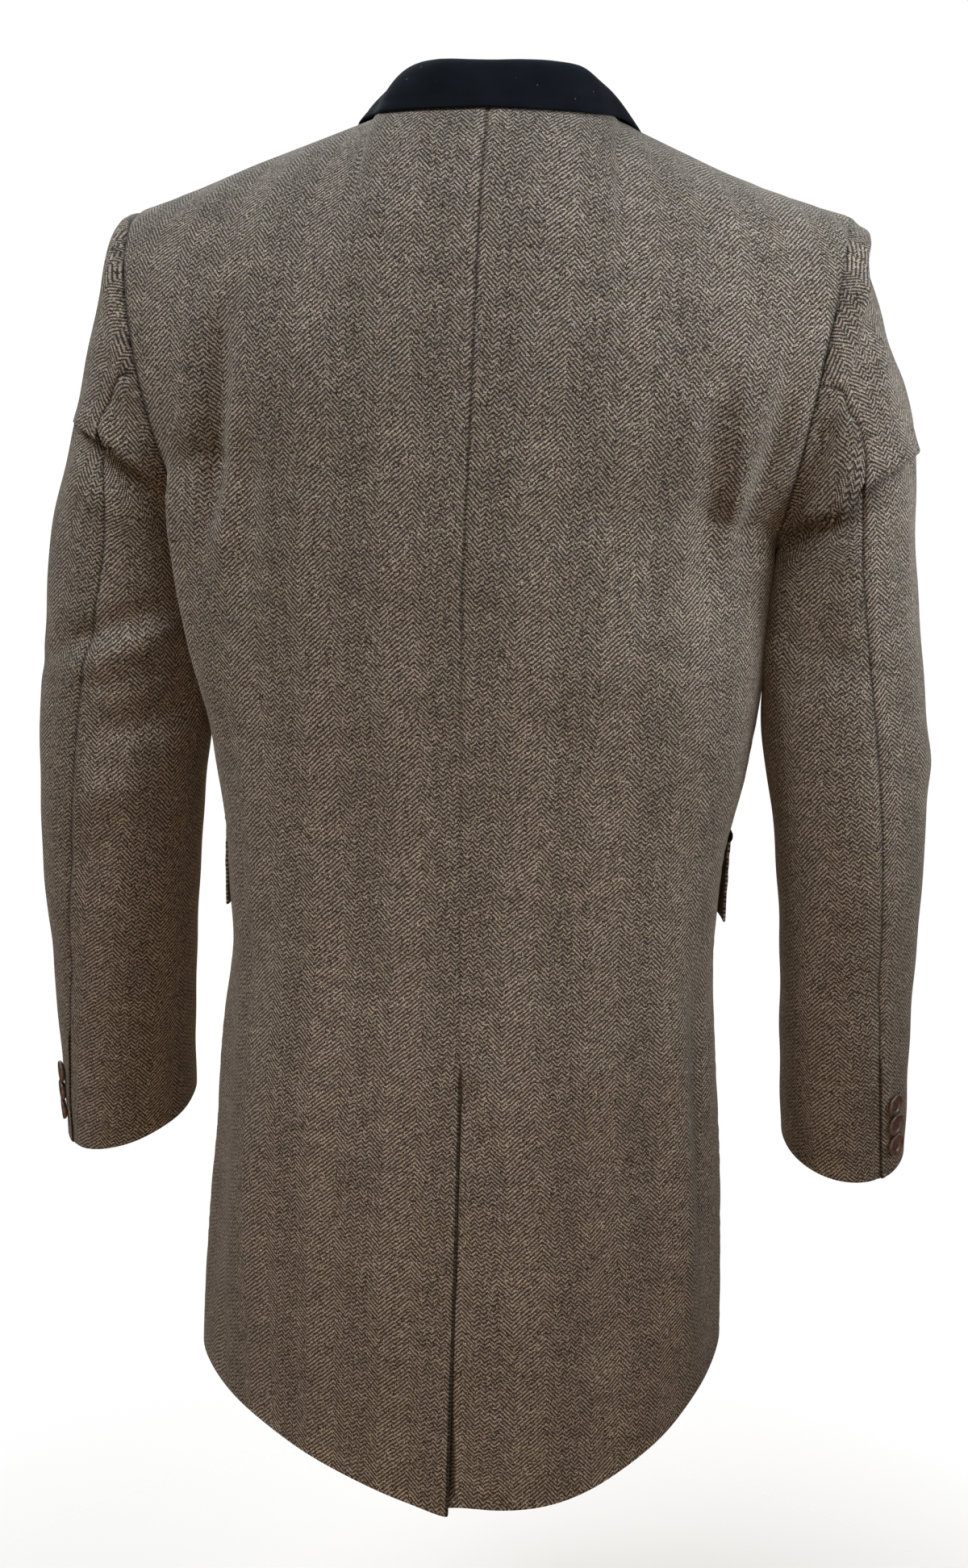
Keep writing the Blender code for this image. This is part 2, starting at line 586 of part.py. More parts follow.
def sleeve_lines(side, rings, span, shares):
    """Points of one sleeve piece and their angles, before its folds, at given rings and shares of its width."""
    first, last = span
    table, numbers = sleeve_table(side)
    knots = np.concatenate([[0], numbers])
    seams = {
        "hind": np.concatenate([[ARMHOLE_HIND], table["hind"]]),
        "fore": np.concatenate([[ARMHOLE_FORE], table["fore"]]),
    }
    starts = seams[first[0]] + first[1]
    ends = seams[last[0]] + last[1]
    lines, turns = [], []
    for share in shares:
        angles = starts + (ends - starts) * share
        turn = np.radians(angles)
        ease_out = HEAD_EASE + UNDERARM_EASE * (1 - cos(turn[0])) / 2
        line = [armhole(side, turn[0]) + np.array([ease_out, 0, 0])]
        line = np.array(line + [sleeve_ring(side, n, turn[n]) for n in numbers])
        lines.append(np.stack([smooth(rings, knots, line[:, k]) for k in range(3)], -1))
        turns.append(smooth(rings, knots, angles))
    return np.stack(lines, 1), np.stack(turns, 1)


def sleeve_grid(side, rings, span, shares):
    """Outer points and outward normals of one sleeve piece."""
    grid, turns = sleeve_lines(side, rings, span, shares)
    before, after = np.maximum(rings - SLEEVE_STEP, 0), np.minimum(rings + SLEEVE_STEP, len(SLEEVE[side]))
    along = sleeve_lines(side, after, span, shares)[0] - sleeve_lines(side, before, span, shares)[0]
    across = sleeve_lines(side, rings, span, shares + SLEEVE_STEP)[0]
    across = across - sleeve_lines(side, rings, span, shares - SLEEVE_STEP)[0]
    normal = unit(np.cross(along, across))
    lift = np.zeros(grid.shape[:2])
    for whole in (-360, 0, 360):
        lift += fold_height(SLEEVE_FOLDS[side], turns + whole, grid[..., 2], radians(SLEEVE_RADIUS), 1.0)
    lift *= ease(rings, *HEAD_FADE)[:, None]
    return grid + normal * lift[..., None], normal


SLEEVE_ROWS = np.array(
    [0, 0.4, 0.8, 1.2, 1.7, 2.2, 2.7, 3.2, 3.6, 4, 4.3, 4.6, 5]
    + [5.5, 6, 6.4, 6.8, 7.2, 7.6, 8.2, 9, 9.6, 10.2, 11, 12]
)
TOP_SPAN = (("fore", -360), ("hind", 0))
UNDER_SPAN = (("hind", 0), ("fore", 0))
SLEEVE_PIECES = (("topsleeve", TOP_SPAN, TOP_COLUMNS), ("undersleeve", UNDER_SPAN, UNDER_COLUMNS))


def make_sleeves(tweed):
    """Two-piece sleeves, sewn along the hindarm and the forearm."""
    for side, hand in ((1, "left"), (-1, "right")):
        for piece, span, count in SLEEVE_PIECES:
            name = f"{piece}_{hand}"
            grid, normal = sleeve_grid(side, SLEEVE_ROWS, span, np.linspace(0, 1, count + 1))
            wall(name, mirrored(grid, side), mirrored(normal, side), CLOTH, tweed(name))


def collar_half(side, stations):
    """Fold and edge points along half of the collar, on the wearer's left."""
    table = columns(COLLAR_COLUMNS, COLLAR)
    knots = np.arange(len(COLLAR))
    edges = []
    for _, _, _, front, u, w in COLLAR:
        out = body_normals(side, not front, w, np.array([u]))[0]
        edges.append(body_point(side, not front, u, w) + out * (VELVET + COLLAR_GAP))
    edges = np.array(edges)
    fold = np.stack([smooth(stations, knots, table[f"fold_{k}"]) for k in "xyz"], -1)
    edge = np.stack([smooth(stations, knots, edges[:, k]) for k in range(3)], -1)
    return fold, edge


def neck_half(side, stations):
    """Points just above half of the neckline: along the back's neck, then up the front's edge."""
    neckline = top_line(side, True)
    points = []
    for fold_x, _, _, front, _, w in COLLAR:
        if front:
            points.append(body_point(side, False, 0.0, w))
        else:
            x = NECK_POINT[0] * fold_x / NECK_FOLD_X
            points.append(np.array([np.interp(x, neckline[:, 0], neckline[:, k]) for k in range(3)]))
    points = np.array(points) + np.array([0, 0, STAND_LIFT])
    return np.stack([smooth(stations, np.arange(len(COLLAR)), points[:, k]) for k in range(3)], -1)


def around(left, right):
    """A whole row from its two halves, each starting at the centre back and lying on the wearer's left."""
    return np.concatenate([mirrored(right[:0:-1], -1), left])


def collar_rows(stations):
    """The collar's fold and edge all round, and the level way out from one to the other."""
    left, right = collar_half(1, stations), collar_half(-1, stations)
    fold = around(left[0], left[0]) + np.array([COLLAR_SHIFT, 0, 0])
    edge = around(left[1], right[1])
    return fold, edge, unit((edge - fold) * np.array([1, 1, 0]))


def make_collar(velvet):
    """The collar's fall from its fold to its edge, and its stand."""
    fold, edge, out = collar_rows(np.linspace(0, len(COLLAR) - 1, FALL_COLUMNS))
    inner = fold - out * FALL_IN - np.array([0, 0, FALL_DOWN])
    crown = fold + (edge - fold) * np.array([0.5, 0.5, 0.0]) + np.array([0, 0, FALL_CROWN])
    shares = np.linspace(0, 1, FALL_ROWS)
    fall = np.array([inner * (1 - t) ** 2 + crown * 2 * t * (1 - t) + edge * t * t for t in shares])
    normal = unit(np.cross(np.gradient(fall, axis=1), np.gradient(fall, axis=0)))
    normal *= np.sign(normal[FALL_ROWS // 2, :, 2].sum())
    wall("collar_fall", fall, normal, VELVET, velvet("collar_fall"), (0, 0, 0, 0))
    stations = np.linspace(0, STAND_END, STAND_COLUMNS)
    fold, edge, out = collar_rows(stations)
    top = fold - out * STAND_IN - np.array([0, 0, STAND_DOWN])
    base = around(neck_half(1, stations), neck_half(-1, stations))
    stand = np.array([base, (base + top) / 2, top])
    normal = unit(np.cross(np.gradient(stand, axis=1), np.gradient(stand, axis=0)))
    normal *= np.sign((normal * (out + np.array([0, 0, 1]))).sum(-1, keepdims=True))
    wall("collar_stand", stand, normal, STAND_WALL, velvet("collar_stand"), (0, 0, 0, 0))


def raised(side, back, points, lift):
    """A grid of (u, w) on a torso panel as points moved out from it by a lift, with normals."""
    name = f"{'back' if back else 'front'}_{'left' if side > 0 else 'right'}"
    rows, normals = [], []
    for row in points:
        places = [body_point(side, back, u, w) for u, w in row]
        ways = np.array([body_normals(side, back, w, np.array([u]))[0] for u, w in row])
        heights = np.array([body_lift(name, u, w) for u, w in row])
        rows.append(np.array(places) + ways * heights[:, None])
        normals.append(ways)
    rows, normals = np.array(rows), np.array(normals)
    return rows + normals * np.asarray(lift)[..., None], normals


def line_length(side, w):
    """The length of a front from its edge to the side at a level."""
    points = body_line(side, False, w, np.linspace(0, 1, LINE_STEPS))
    return float(np.linalg.norm(np.diff(points, axis=0), axis=1).sum())


def make_lapels(tweed):
    """Lapels turned back over the fronts along the roll line."""
    rise = np.linspace(0, 1, LAPEL_ROWS)
    across = np.linspace(0, 1, LAPEL_COLUMNS_ACROSS)
    low, (gorge, point) = LAPEL[0][0], LAPEL_TOP
    for side, hand in ((1, "left"), (-1, "right")):
        points = []
        for t in rise:
            width = float(smooth(low + (gorge - low) * t, LAPEL_TABLE["w"], LAPEL_TABLE["width"]))
            width /= line_length(side, low + (gorge - low) * t)
            points.append([(a * width, low + (gorge + (point - gorge) * a - low) * t) for a in across])
        lift = CLOTH + LAPEL_LAYER + LAPEL_ROLL * np.sin(across * LAPEL_ROLL_TURN)
        grid, normal = raised(side, False, points, np.tile(lift, (LAPEL_ROWS, 1)))
        name = f"lapel_{hand}"
        wall(name, mirrored(grid, side), mirrored(normal, side), CLOTH, tweed(name), (0, 0, 0, 0))


def level_at(z):
    """The level of a front at a height below the underarm."""
    return (z - HEM_FRONT) / (UNDERARM_Z - HEM_FRONT)


def make_pockets(tweed, velvet):
    """A flap and a narrow dark jet above it on each front."""
    across = np.linspace(0, 1, FLAP_COLUMNS)
    down = np.linspace(1, 0, FLAP_ROWS)
    for side, hand in ((1, "left"), (-1, "right")):
        top = POCKET_TOP[side]
        share = FLAP_LENGTH / line_length(side, level_at(top))
        places = POCKET_REAR - share * (1 - across)
        points = [[(u, level_at(top - FLAP_DROP * d)) for u in places] for d in down]
        lean = FLAP_FRONT_LIFT + (1 - FLAP_FRONT_LIFT) * across**2
        stand_off = FLAP_LIFT * np.sin(down * pi / 2)[:, None] * lean
        grid, normal = raised(side, False, points, CLOTH + POCKET_LAYER + stand_off)
        name = f"pocket_flap_{hand}"
        wall(name, mirrored(grid, side), mirrored(normal, side), CLOTH, tweed(name), (0, 0, 0, 0))
        low = top + JET_GAP
        points = [[(u, level_at(z)) for u in places] for z in (low, low + JET_HEIGHT)]
        grid, normal = raised(side, False, points, np.full((2, FLAP_COLUMNS), CLOTH + POCKET_LAYER))
        name = f"pocket_jet_{hand}"
        wall(name, mirrored(grid, side), mirrored(normal, side), CLOTH, velvet(name), (0, 0, 0, 0))


def make_button(name, place, normal, size, material):
    """A turned button with a raised rim and a dished face, lying with its back at a place."""
    radius, height = size
    mesh = bpy.data.meshes.new(name)
    bm = bmesh.new()
    section = columns(BUTTON_COLUMNS, BUTTON_SECTION)
    rim = zip(section["radius"] * radius, section["height"] * height)
    verts = [bm.verts.new((x, 0.0, z)) for x, z in rim]
    for first, second in zip(verts, verts[1:]):
        bm.edges.new((first, second))
    geometry = bm.verts[:] + bm.edges[:]
    bmesh.ops.spin(bm, geom=geometry, cent=(0, 0, 0), axis=(0, 0, 1), angle=2 * pi, steps=BUTTON_STEPS)
    bmesh.ops.remove_doubles(bm, verts=bm.verts, dist=MERGE)
    bmesh.ops.recalc_face_normals(bm, faces=bm.faces)
    up = unit(np.asarray(normal, float))
    side = unit(np.cross((0.0, 0.0, 1.0), up))
    other = np.cross(up, side)
    for vert in bm.verts:
        x, y, z = vert.co
        vert.co = place + side * x + other * y + up * z
    bm.to_mesh(mesh)
    bm.free()
    add_object(name, mesh, material)


def make_buttons(horn):
    """Three buttons down the front, and three on each cuff beside the hindarm seam."""
    for number, z in enumerate(FRONT_BUTTON_Z, 1):
        w = level_at(z)
        u = FRONT_LAP / line_length(1, w)
        grid, normal = raised(1, False, [[(u, w)]], np.array([[LAYER]]))
        name = f"front_button_{number}"
        make_button(name, grid[0, 0], normal[0, 0], FRONT_BUTTON, horn(name))
    for side, hand in ((1, "left"), (-1, "right")):
        cuff = len(SLEEVE[side])
        rings = np.linspace(cuff - 2, cuff, CUFF_STEPS)
        seam = sleeve_grid(side, rings, TOP_SPAN, np.array([CUFF_LINE]))[0][::-1, 0]
        up = np.concatenate([[0], np.cumsum(np.linalg.norm(np.diff(seam, axis=0), axis=1))])
        for number, rise in enumerate(CUFF_BUTTON_UP, 1):
            ring = np.interp(rise, up, rings[::-1])
            grid, normal = sleeve_grid(side, np.array([ring]), TOP_SPAN, np.linspace(1, 0, CUFF_STEPS))
            run = np.concatenate([[0], np.cumsum(np.linalg.norm(np.diff(grid[0], axis=0), axis=1))])
            place = np.array([np.interp(CUFF_BUTTON_OFFSET, run, grid[0][:, k]) for k in range(3)])
            way = unit(np.array([np.interp(CUFF_BUTTON_OFFSET, run, normal[0][:, k]) for k in range(3)]))
            seat = mirrored(place + way * CUFF_BUTTON_LIFT, side)
            name = f"cuff_button_{hand}_{number}"
            make_button(name, seat, mirrored(way, side), CUFF_BUTTON, horn(name))


def tweed_for(name):
    """A grey-brown tweed for one piece."""
    return new_material(f"{name}_tweed", (0.106, 0.087, 0.074), 0.9)


def velvet_for(name):
    """A blue-black velvet for one piece."""
    return new_material(f"{name}_velvet", (0.0065, 0.009, 0.0135), 0.85)


def horn_for(name):
    """A brown horn for one button."""
    return new_material(f"{name}_horn", (0.06, 0.035, 0.025), 0.4)


for old in list(bpy.data.objects):
    bpy.data.objects.remove(old, do_unlink=True)
coat = bpy.data.collections.new("tweed_overcoat")
bpy.context.scene.collection.children.link(coat)

make_bodies(tweed_for)
make_sleeves(tweed_for)
make_collar(velvet_for)
make_lapels(tweed_for)
make_pockets(tweed_for, velvet_for)
make_buttons(horn_for)
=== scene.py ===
"""The looks of a tweed overcoat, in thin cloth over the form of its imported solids.

Metres. X runs to the wearer's left, Y to the back and Z up. The neck's middle is the origin.
"""
from __future__ import annotations

import logging
from dataclasses import dataclass, field, replace
from enum import Enum
from itertools import product
from math import cos, pi, radians, sin, sqrt
from typing import Any, ClassVar, NamedTuple, Union

import bmesh
import bpy
import numpy as np
from mathutils import Matrix, Vector


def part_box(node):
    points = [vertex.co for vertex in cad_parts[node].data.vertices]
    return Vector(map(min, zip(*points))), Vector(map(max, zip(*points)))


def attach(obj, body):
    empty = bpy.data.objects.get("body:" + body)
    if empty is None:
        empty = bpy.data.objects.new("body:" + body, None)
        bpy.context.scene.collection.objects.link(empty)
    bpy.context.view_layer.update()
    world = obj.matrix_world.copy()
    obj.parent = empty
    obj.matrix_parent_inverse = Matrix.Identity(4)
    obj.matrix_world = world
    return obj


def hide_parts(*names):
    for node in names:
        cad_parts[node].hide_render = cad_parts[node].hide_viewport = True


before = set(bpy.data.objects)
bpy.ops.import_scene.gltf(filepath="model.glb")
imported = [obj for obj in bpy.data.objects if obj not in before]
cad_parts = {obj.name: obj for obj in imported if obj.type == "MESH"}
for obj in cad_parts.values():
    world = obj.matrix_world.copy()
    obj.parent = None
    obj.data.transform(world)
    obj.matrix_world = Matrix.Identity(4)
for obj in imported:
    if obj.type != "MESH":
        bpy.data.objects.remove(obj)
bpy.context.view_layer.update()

LOG = logging.getLogger("overcoat")
BODY = "root"

Array = np.ndarray
Pair, Triple = tuple[float, float], tuple[float, float, float]
Material, Mesh, Piece = bpy.types.Material, bpy.types.Mesh, bpy.types.Object
Node, Socket = bpy.types.Node, bpy.types.NodeSocket
Value = Union[Socket, float, tuple]


class Side(Enum):
    """A side of the coat, by its sign along an axis."""

    @property
    def word(self) -> str:
        """The side as it stands in a piece's name."""
        return self.name.lower()


class Hand(Side):
    """The wearer's left or right, and its sign along X."""

    LEFT = 1
    RIGHT = -1


class Face(Side):
    """The back or the front of the torso, and its sign along Y."""

    BACK = 1
    FRONT = -1


class Slot(Enum):
    """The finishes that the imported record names."""

    TWEED = "tweed"
    VELVET = "velvet"
    HORN = "horn"


def by_hand(left: Any, right: Any) -> Any:
    """A dataclass field with a value for either hand."""
    return field(default_factory=lambda: {Hand.LEFT: left, Hand.RIGHT: right})


# Curves and grids


def smooth(at: Array, xs: Array, ys: Array) -> Array:
    """A smooth curve through a table's points, level past its ends.

    Args:
        at: Where the curve is wanted.
        xs: The table's places, rising.
        ys: The table's values, one row for each place.

    Returns:
        One value, or row of values, for each place asked for.
    """
    xs, ys = np.asarray(xs, float), np.asarray(ys, float)
    slopes = np.gradient(ys, xs, axis=0)
    at = np.clip(np.asarray(at, float), xs[0], xs[-1])
    i = np.clip(np.searchsorted(xs, at) - 1, 0, len(xs) - 2)
    step = xs[i + 1] - xs[i]
    t = (at - xs[i]) / step
    while np.ndim(t) < np.ndim(ys[i]):
        t, step = t[..., None], step[..., None]
    return (
        ys[i] * (1 + 2 * t) * (1 - t) ** 2
        + slopes[i] * step * t * (1 - t) ** 2
        + ys[i + 1] * t * t * (3 - 2 * t)
        + slopes[i + 1] * step * t * t * (t - 1)
    )


def ease(value: Array, start: float, end: float) -> Array:
    """A soft step that leaves 0 at its start and reaches 1 at its end."""
    t = np.clip((np.asarray(value, float) - start) / (end - start), 0.0, 1.0)
    return t * t * (3 - 2 * t)


def bell(value: Array, width: float) -> Array:
    """A soft bump, 1 at zero and near nothing at twice its width."""
    return np.exp(-((np.asarray(value, float) / width) ** 2))


def spread(points: Array, shares: Array) -> Array:
    """Points at given shares, from 0 to 1, of the length of a line."""
    run = lengths(points, 0)
    return np.stack([np.interp(shares, run / run[-1], points[:, k]) for k in range(3)], -1)


def lengths(points: Array, axis: int) -> Array:
    """The running length along one axis of a line or a grid of points.

    Args:
        points: Points, with their coordinates last.
        axis: The axis to run along.

    Returns:
        The length from the first point to each.
    """
    steps = np.linalg.norm(np.diff(points, axis=axis), axis=-1)
    start = np.zeros_like(np.take(steps, [0], axis=axis))
    return np.concatenate([start, np.cumsum(steps, axis=axis)], axis=axis)


def unit(vectors: Array) -> Array:
    """Vectors brought to a length of one."""
    return vectors / np.maximum(np.linalg.norm(vectors, axis=-1, keepdims=True), 1e-12)


def grid_normals(points: Array, towards: Array) -> Array:
    """Unit normals of a grid of points, which lean as a whole to one direction or to one for each point."""
    normal = unit(np.cross(np.gradient(points, axis=1), np.gradient(points, axis=0)))
    return normal * np.sign((normal * towards).sum())


def graded(length: float, step: float) -> Array:
    """Shares of a length in even steps, with a few closer ones at both ends, for the edges of cloth.

    Args:
        length: The length in metres.
        step: The even step in metres.

    Returns:
        Rising shares from 0 to 1.
    """
    close = np.array([0.0, 0.0007, 0.0017, 0.0032, 0.0054]) / length
    middle = np.linspace(close[-1], 1 - close[-1], max(int(length / step), 4))
    return np.concatenate([close[:-1], middle, 1 - close[-2::-1]])


def ripple(x: Array, y: Array, seed: int, shortest: float = 0.05, longest: float = 0.16) -> Array:
    """The slow unevenness of hanging cloth: a few crossing waves.

    Args:
        x: Places across, in metres.
        y: Places along, in metres.
        seed: Tells one piece of cloth from another.
        shortest: The shortest wave in metres.
        longest: The longest wave in metres.

    Returns:
        Heights of about -1 to 1.
    """
    draw = np.random.default_rng(seed)
    waves = 7
    total = np.zeros(np.broadcast(x, y).shape)
    for _ in range(waves):
        rate = 2 * pi / draw.uniform(shortest, longest)
        heading = draw.uniform(0, pi)
        total += np.sin(rate * (x * cos(heading) + y * sin(heading)) + draw.uniform(0, 2 * pi))
    return total / sqrt(waves)


@dataclass(frozen=True)
class Fold:
    """A soft ridge, or a trough where its height is below zero, along a path on a piece of cloth.

    Its power is 2 for a round fold, and nearer 1 for a sharp crease. Where it has a brow, the cloth above the
    path stands out by its height and drops to as far in below, over twice the brow.
    """

    path: tuple[Pair, ...]
    width: float
    height: float
    power: float = 2.0
    steps: int = 12
    taper: float = 0.35
    brow: float = 0.0

    def near(self, x: Array, y: Array) -> tuple[Array, Array]:
        """Places as the fold sees them.

        Args:
            x: Places across, in metres.
            y: Places along, in metres.

        Returns:
            How far above the path each place is, and the fold's strength, which dies out at its two ends.
        """
        knots = np.arange(len(self.path))
        line = smooth(np.linspace(0, knots[-1], self.steps + 1), knots, np.array(self.path))
        above = np.full(x.shape, np.inf)
        share = np.zeros(x.shape)
        for i, (first, second) in enumerate(zip(line, line[1:])):
            run = second - first
            t = np.clip(((x - first[0]) * run[0] + (y - first[1]) * run[1]) / (run @ run), 0, 1)
            across, up = x - first[0] - t * run[0], y - first[1] - t * run[1]
            gap = np.hypot(across, up)
            nearer = gap < abs(above)
            share = np.where(nearer, (i + t) / self.steps, share)
            above = np.where(nearer, np.copysign(gap, run[0] * up - run[1] * across), above)
        return above, ease(share, 0, self.taper) * (1 - ease(share, 1 - self.taper, 1))

    def lift(self, x: Array, y: Array) -> Array:
        """The fold's height over the cloth, at places across and along in metres."""
        above, strength = self.near(x, y)
        height = self.height * np.exp(-((abs(above) / self.width) ** self.power)) * strength
        return height * (2 * ease(above, -self.brow, self.brow) - 1) if self.brow else height

    def shadow(self, x: Array, y: Array) -> Array:
        """The painted shadow under the fold's brow, from 0 to 1."""
        above, strength = self.near(x, y)
        return bell(above + 2 * self.brow, 3 * self.brow) * strength if self.brow else 0 * above


# Cloth as a thin closed wall


@dataclass
class Sheet:
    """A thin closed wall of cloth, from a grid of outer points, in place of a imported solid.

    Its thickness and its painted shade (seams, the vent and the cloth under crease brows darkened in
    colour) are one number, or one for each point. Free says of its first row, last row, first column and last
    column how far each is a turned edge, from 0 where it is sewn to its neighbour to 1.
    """

    node: str
    slot: Slot
    outer: Array
    normal: Array
    thickness: Union[Array, float]
    weave: Array
    shade: Union[Array, float] = 0.0
    free: tuple = (1.0, 1.0, 1.0, 1.0)
    sewn_in: float = 0.0004
    turns: int = 3
    least_length: float = 0.01

    def __post_init__(self) -> None:
        """Gives each point its own thickness and shade."""
        plain = np.zeros(self.outer.shape[:2])
        self.thickness, self.shade = self.thickness + plain, self.shade + plain

    @property
    def name(self) -> str:
        """The cloth's own name."""
        return f"{self.node}_{'cloth' if self.slot is Slot.TWEED else self.slot.value}"

    def rim(self) -> list[tuple[int, int]]:
        """The places of the rim's points in order: first row, last column, last row, first column."""
        rows, count = self.outer.shape[:2]
        loop = [(0, c) for c in range(count - 1)] + [(r, count - 1) for r in range(rows - 1)]
        loop += [(rows - 1, c) for c in range(count - 1, 0, -1)]
        return loop + [(r, 0) for r in range(rows - 1, 0, -1)]

    def way_out(self) -> tuple[Array, Array]:
        """The way out of the cloth at each rim point.

        Returns:
            For each point of the grid a unit direction, and how round its edge is. Both only hold at the rim.
        """
        out = np.zeros_like(self.outer)
        free = np.ones(self.outer.shape[:2])
        edges = (np.s_[0, :], np.s_[-1, :], np.s_[:, 0], np.s_[:, -1])
        inners = (np.s_[1, :], np.s_[-2, :], np.s_[:, 1], np.s_[:, -2])
        for edge, inner, share in zip(edges, inners, self.free):
            out[edge] += unit(self.outer[edge] - self.outer[inner])
            free[edge] = np.minimum(free[edge], share)
        return unit(out), free

    def mesh(self) -> Mesh:
        """The wall, with its measures on the flat cloth and its painted shade.

        Returns:
            The mesh.
        """
        rows, count = self.outer.shape[:2]
        loop = self.rim()
        at = np.array([r * count + c for r, c in loop])
        out, free = self.way_out()
        out, free = out.reshape(-1, 3)[at], free.reshape(-1)[at]
        outer = self.outer.reshape(-1, 3).copy()
        inner = (self.outer - self.normal * self.thickness[..., None]).reshape(-1, 3)
        for layer in (outer, inner):
            layer[at] += out * self.sewn_in * (1 - free)[:, None]
        half = self.thickness.reshape(-1)[at][:, None] / 2
        middle, up = (outer[at] + inner[at]) / 2, unit(outer[at] - inner[at])
        points = [outer, inner]
        for turn in range(1, self.turns + 1):
            angle = pi * turn / (self.turns + 1)
            points.append(middle + up * half * cos(angle) + out * half * sin(angle) * free[:, None])
        faces = self.wall_faces(rows, count, at)
        order = np.concatenate([np.arange(rows * count)] * 2 + [at] * self.turns)
        mesh = new_mesh(self.name, np.concatenate(points), faces)
        set_weave(mesh, self.weave.reshape(-1, 2)[order])
        # Painted shade for the material: seams, the vent and crease brows darkened in colour
        shade = mesh.attributes.new("edge_shade", "FLOAT", "POINT")
        shade.data.foreach_set("value", self.shade.reshape(-1)[order].astype(np.float32))
        return mesh

    def wall_faces(self, rows: int, count: int, at: Array) -> Array:
        """The wall's four-sided faces.

        Args:
            rows: Rows of the grid.
            count: Columns of the grid.
            at: The rim's points, by number.

        Returns:
            Four point numbers for each face: outer side, inner side and the rim's turns.
        """
        number = np.arange(rows * count).reshape(rows, count)
        square = squares(number[:, :-1], number[:, 1:])
        rim_start = 2 * rows * count
        rings = [at] + [rim_start + len(at) * k + np.arange(len(at)) for k in range(self.turns)]
        rings.append(at + rows * count)
        faces = [square, square[:, ::-1] + rows * count]
        for first, second in zip(rings, rings[1:]):
            faces.append(np.stack([np.roll(first, -1), first, second, np.roll(second, -1)], -1))
        return np.concatenate(faces)

    def area(self) -> float:
        """The cloth's own area."""
        across, along = np.diff(self.outer, axis=1)[:-1], np.diff(self.outer, axis=0)[:, :-1]
        return float(np.linalg.norm(np.cross(across, along), axis=-1).sum())

    def size(self) -> Pair:
        """The longest measure across and along."""
        return float(lengths(self.outer, 1)[:, -1].max()), float(lengths(self.outer, 0)[-1].max())

    def build(self, finish: Material, held: str, *rests_on: str) -> None:
        """Puts the cloth into the scene in place of its imported solid.

        Args:
            finish: What it is made of.
            held: Not used.
            rests_on: Not used.
        """
        piece = add_object(self.name, self.mesh(), finish)
        stand_for(piece, self.slot, self.node)
        width, length = self.size()
        length = max(length, self.least_length)
        area = min(self.area(), width * length)


def squares(first: Array, second: Array) -> Array:
    """Four-sided faces between the rows of two columns of point numbers, side by side."""
    return np.stack([first[:-1], second[:-1], second[1:], first[1:]], -1).reshape(-1, 4)


def new_mesh(name: str, points: Array, faces: Array) -> Mesh:
    """A smooth mesh of four-sided faces that faces out.

    Args:
        name: Its name.
        points: Its points.
        faces: Four point numbers for each face.

    Returns:
        The mesh.
    """
    corner = points[faces]
    spans = np.cross(corner[:, 2] - corner[:, 0], corner[:, 3] - corner[:, 1])
    if (spans * corner.mean(1)).sum() < 0:
        faces = faces[:, ::-1]
    mesh = bpy.data.meshes.new(name)
    mesh.from_pydata(points.tolist(), [], faces.tolist())
    mesh.shade_smooth()
    return mesh


def set_weave(mesh: Mesh, weave: Array) -> None:
    """Stores where each point lies on the flat cloth, in metres.

    Args:
        mesh: The cloth's mesh.
        weave: Two measures for each point.
    """
    layer = mesh.uv_layers.new(name="weave")
    corners = np.zeros(len(mesh.loops), np.int32)
    mesh.loops.foreach_get("vertex_index", corners)
    layer.data.foreach_set("uv", weave[corners].astype(np.float32).ravel())


def add_object(name: str, mesh: Mesh, material: Material) -> Piece:
    """Puts a mesh into the scene with its finish.

    Args:
        name: The piece's name.
        mesh: Its mesh.
        material: Its finish.

    Returns:
        The new object.
    """
    mesh.materials.append(material)
    piece = bpy.data.objects.new(name, mesh)
    bpy.context.scene.collection.objects.link(piece)
    return piece


def stand_for(piece: Piece, slot: Slot, node: str) -> None:
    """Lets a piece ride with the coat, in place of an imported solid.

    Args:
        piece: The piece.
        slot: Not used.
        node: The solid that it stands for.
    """
    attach(piece, BODY)
    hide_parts(node)
    LOG.info("%s: %d faces", piece.name, len(piece.data.polygons))


def settled(flat: Array, points: Array, rounds: int) -> Array:
    """Lets a flat grid settle until its links are as long as those of a curved one.

    Args:
        flat: A first guess, two measures for each point.
        points: The curved grid.
        rounds: How often the links are eased.

    Returns:
        The flat grid, stretched as little as can be.
    """
    links = (
        (np.s_[:, :-1], np.s_[:, 1:]),
        (np.s_[:-1, :], np.s_[1:, :]),
        (np.s_[:-1, :-1], np.s_[1:, 1:]),
        (np.s_[:-1, 1:], np.s_[1:, :-1]),
    )
    wanted = [np.linalg.norm(points[second] - points[first], axis=-1) for first, second in links]
    count = np.zeros((*flat.shape[:2], 1))
    for first, second in links:
        count[first] += 1
        count[second] += 1
    for _ in range(rounds):
        push = np.zeros_like(flat)
        for (first, second), size in zip(links, wanted):
            way = flat[second] - flat[first]
            now = np.linalg.norm(way, axis=-1)
            half = way * ((now - size) / now / 2)[..., None]
            push[first] += half
            push[second] -= half
        flat = flat + 1.4 * push / count
    return flat


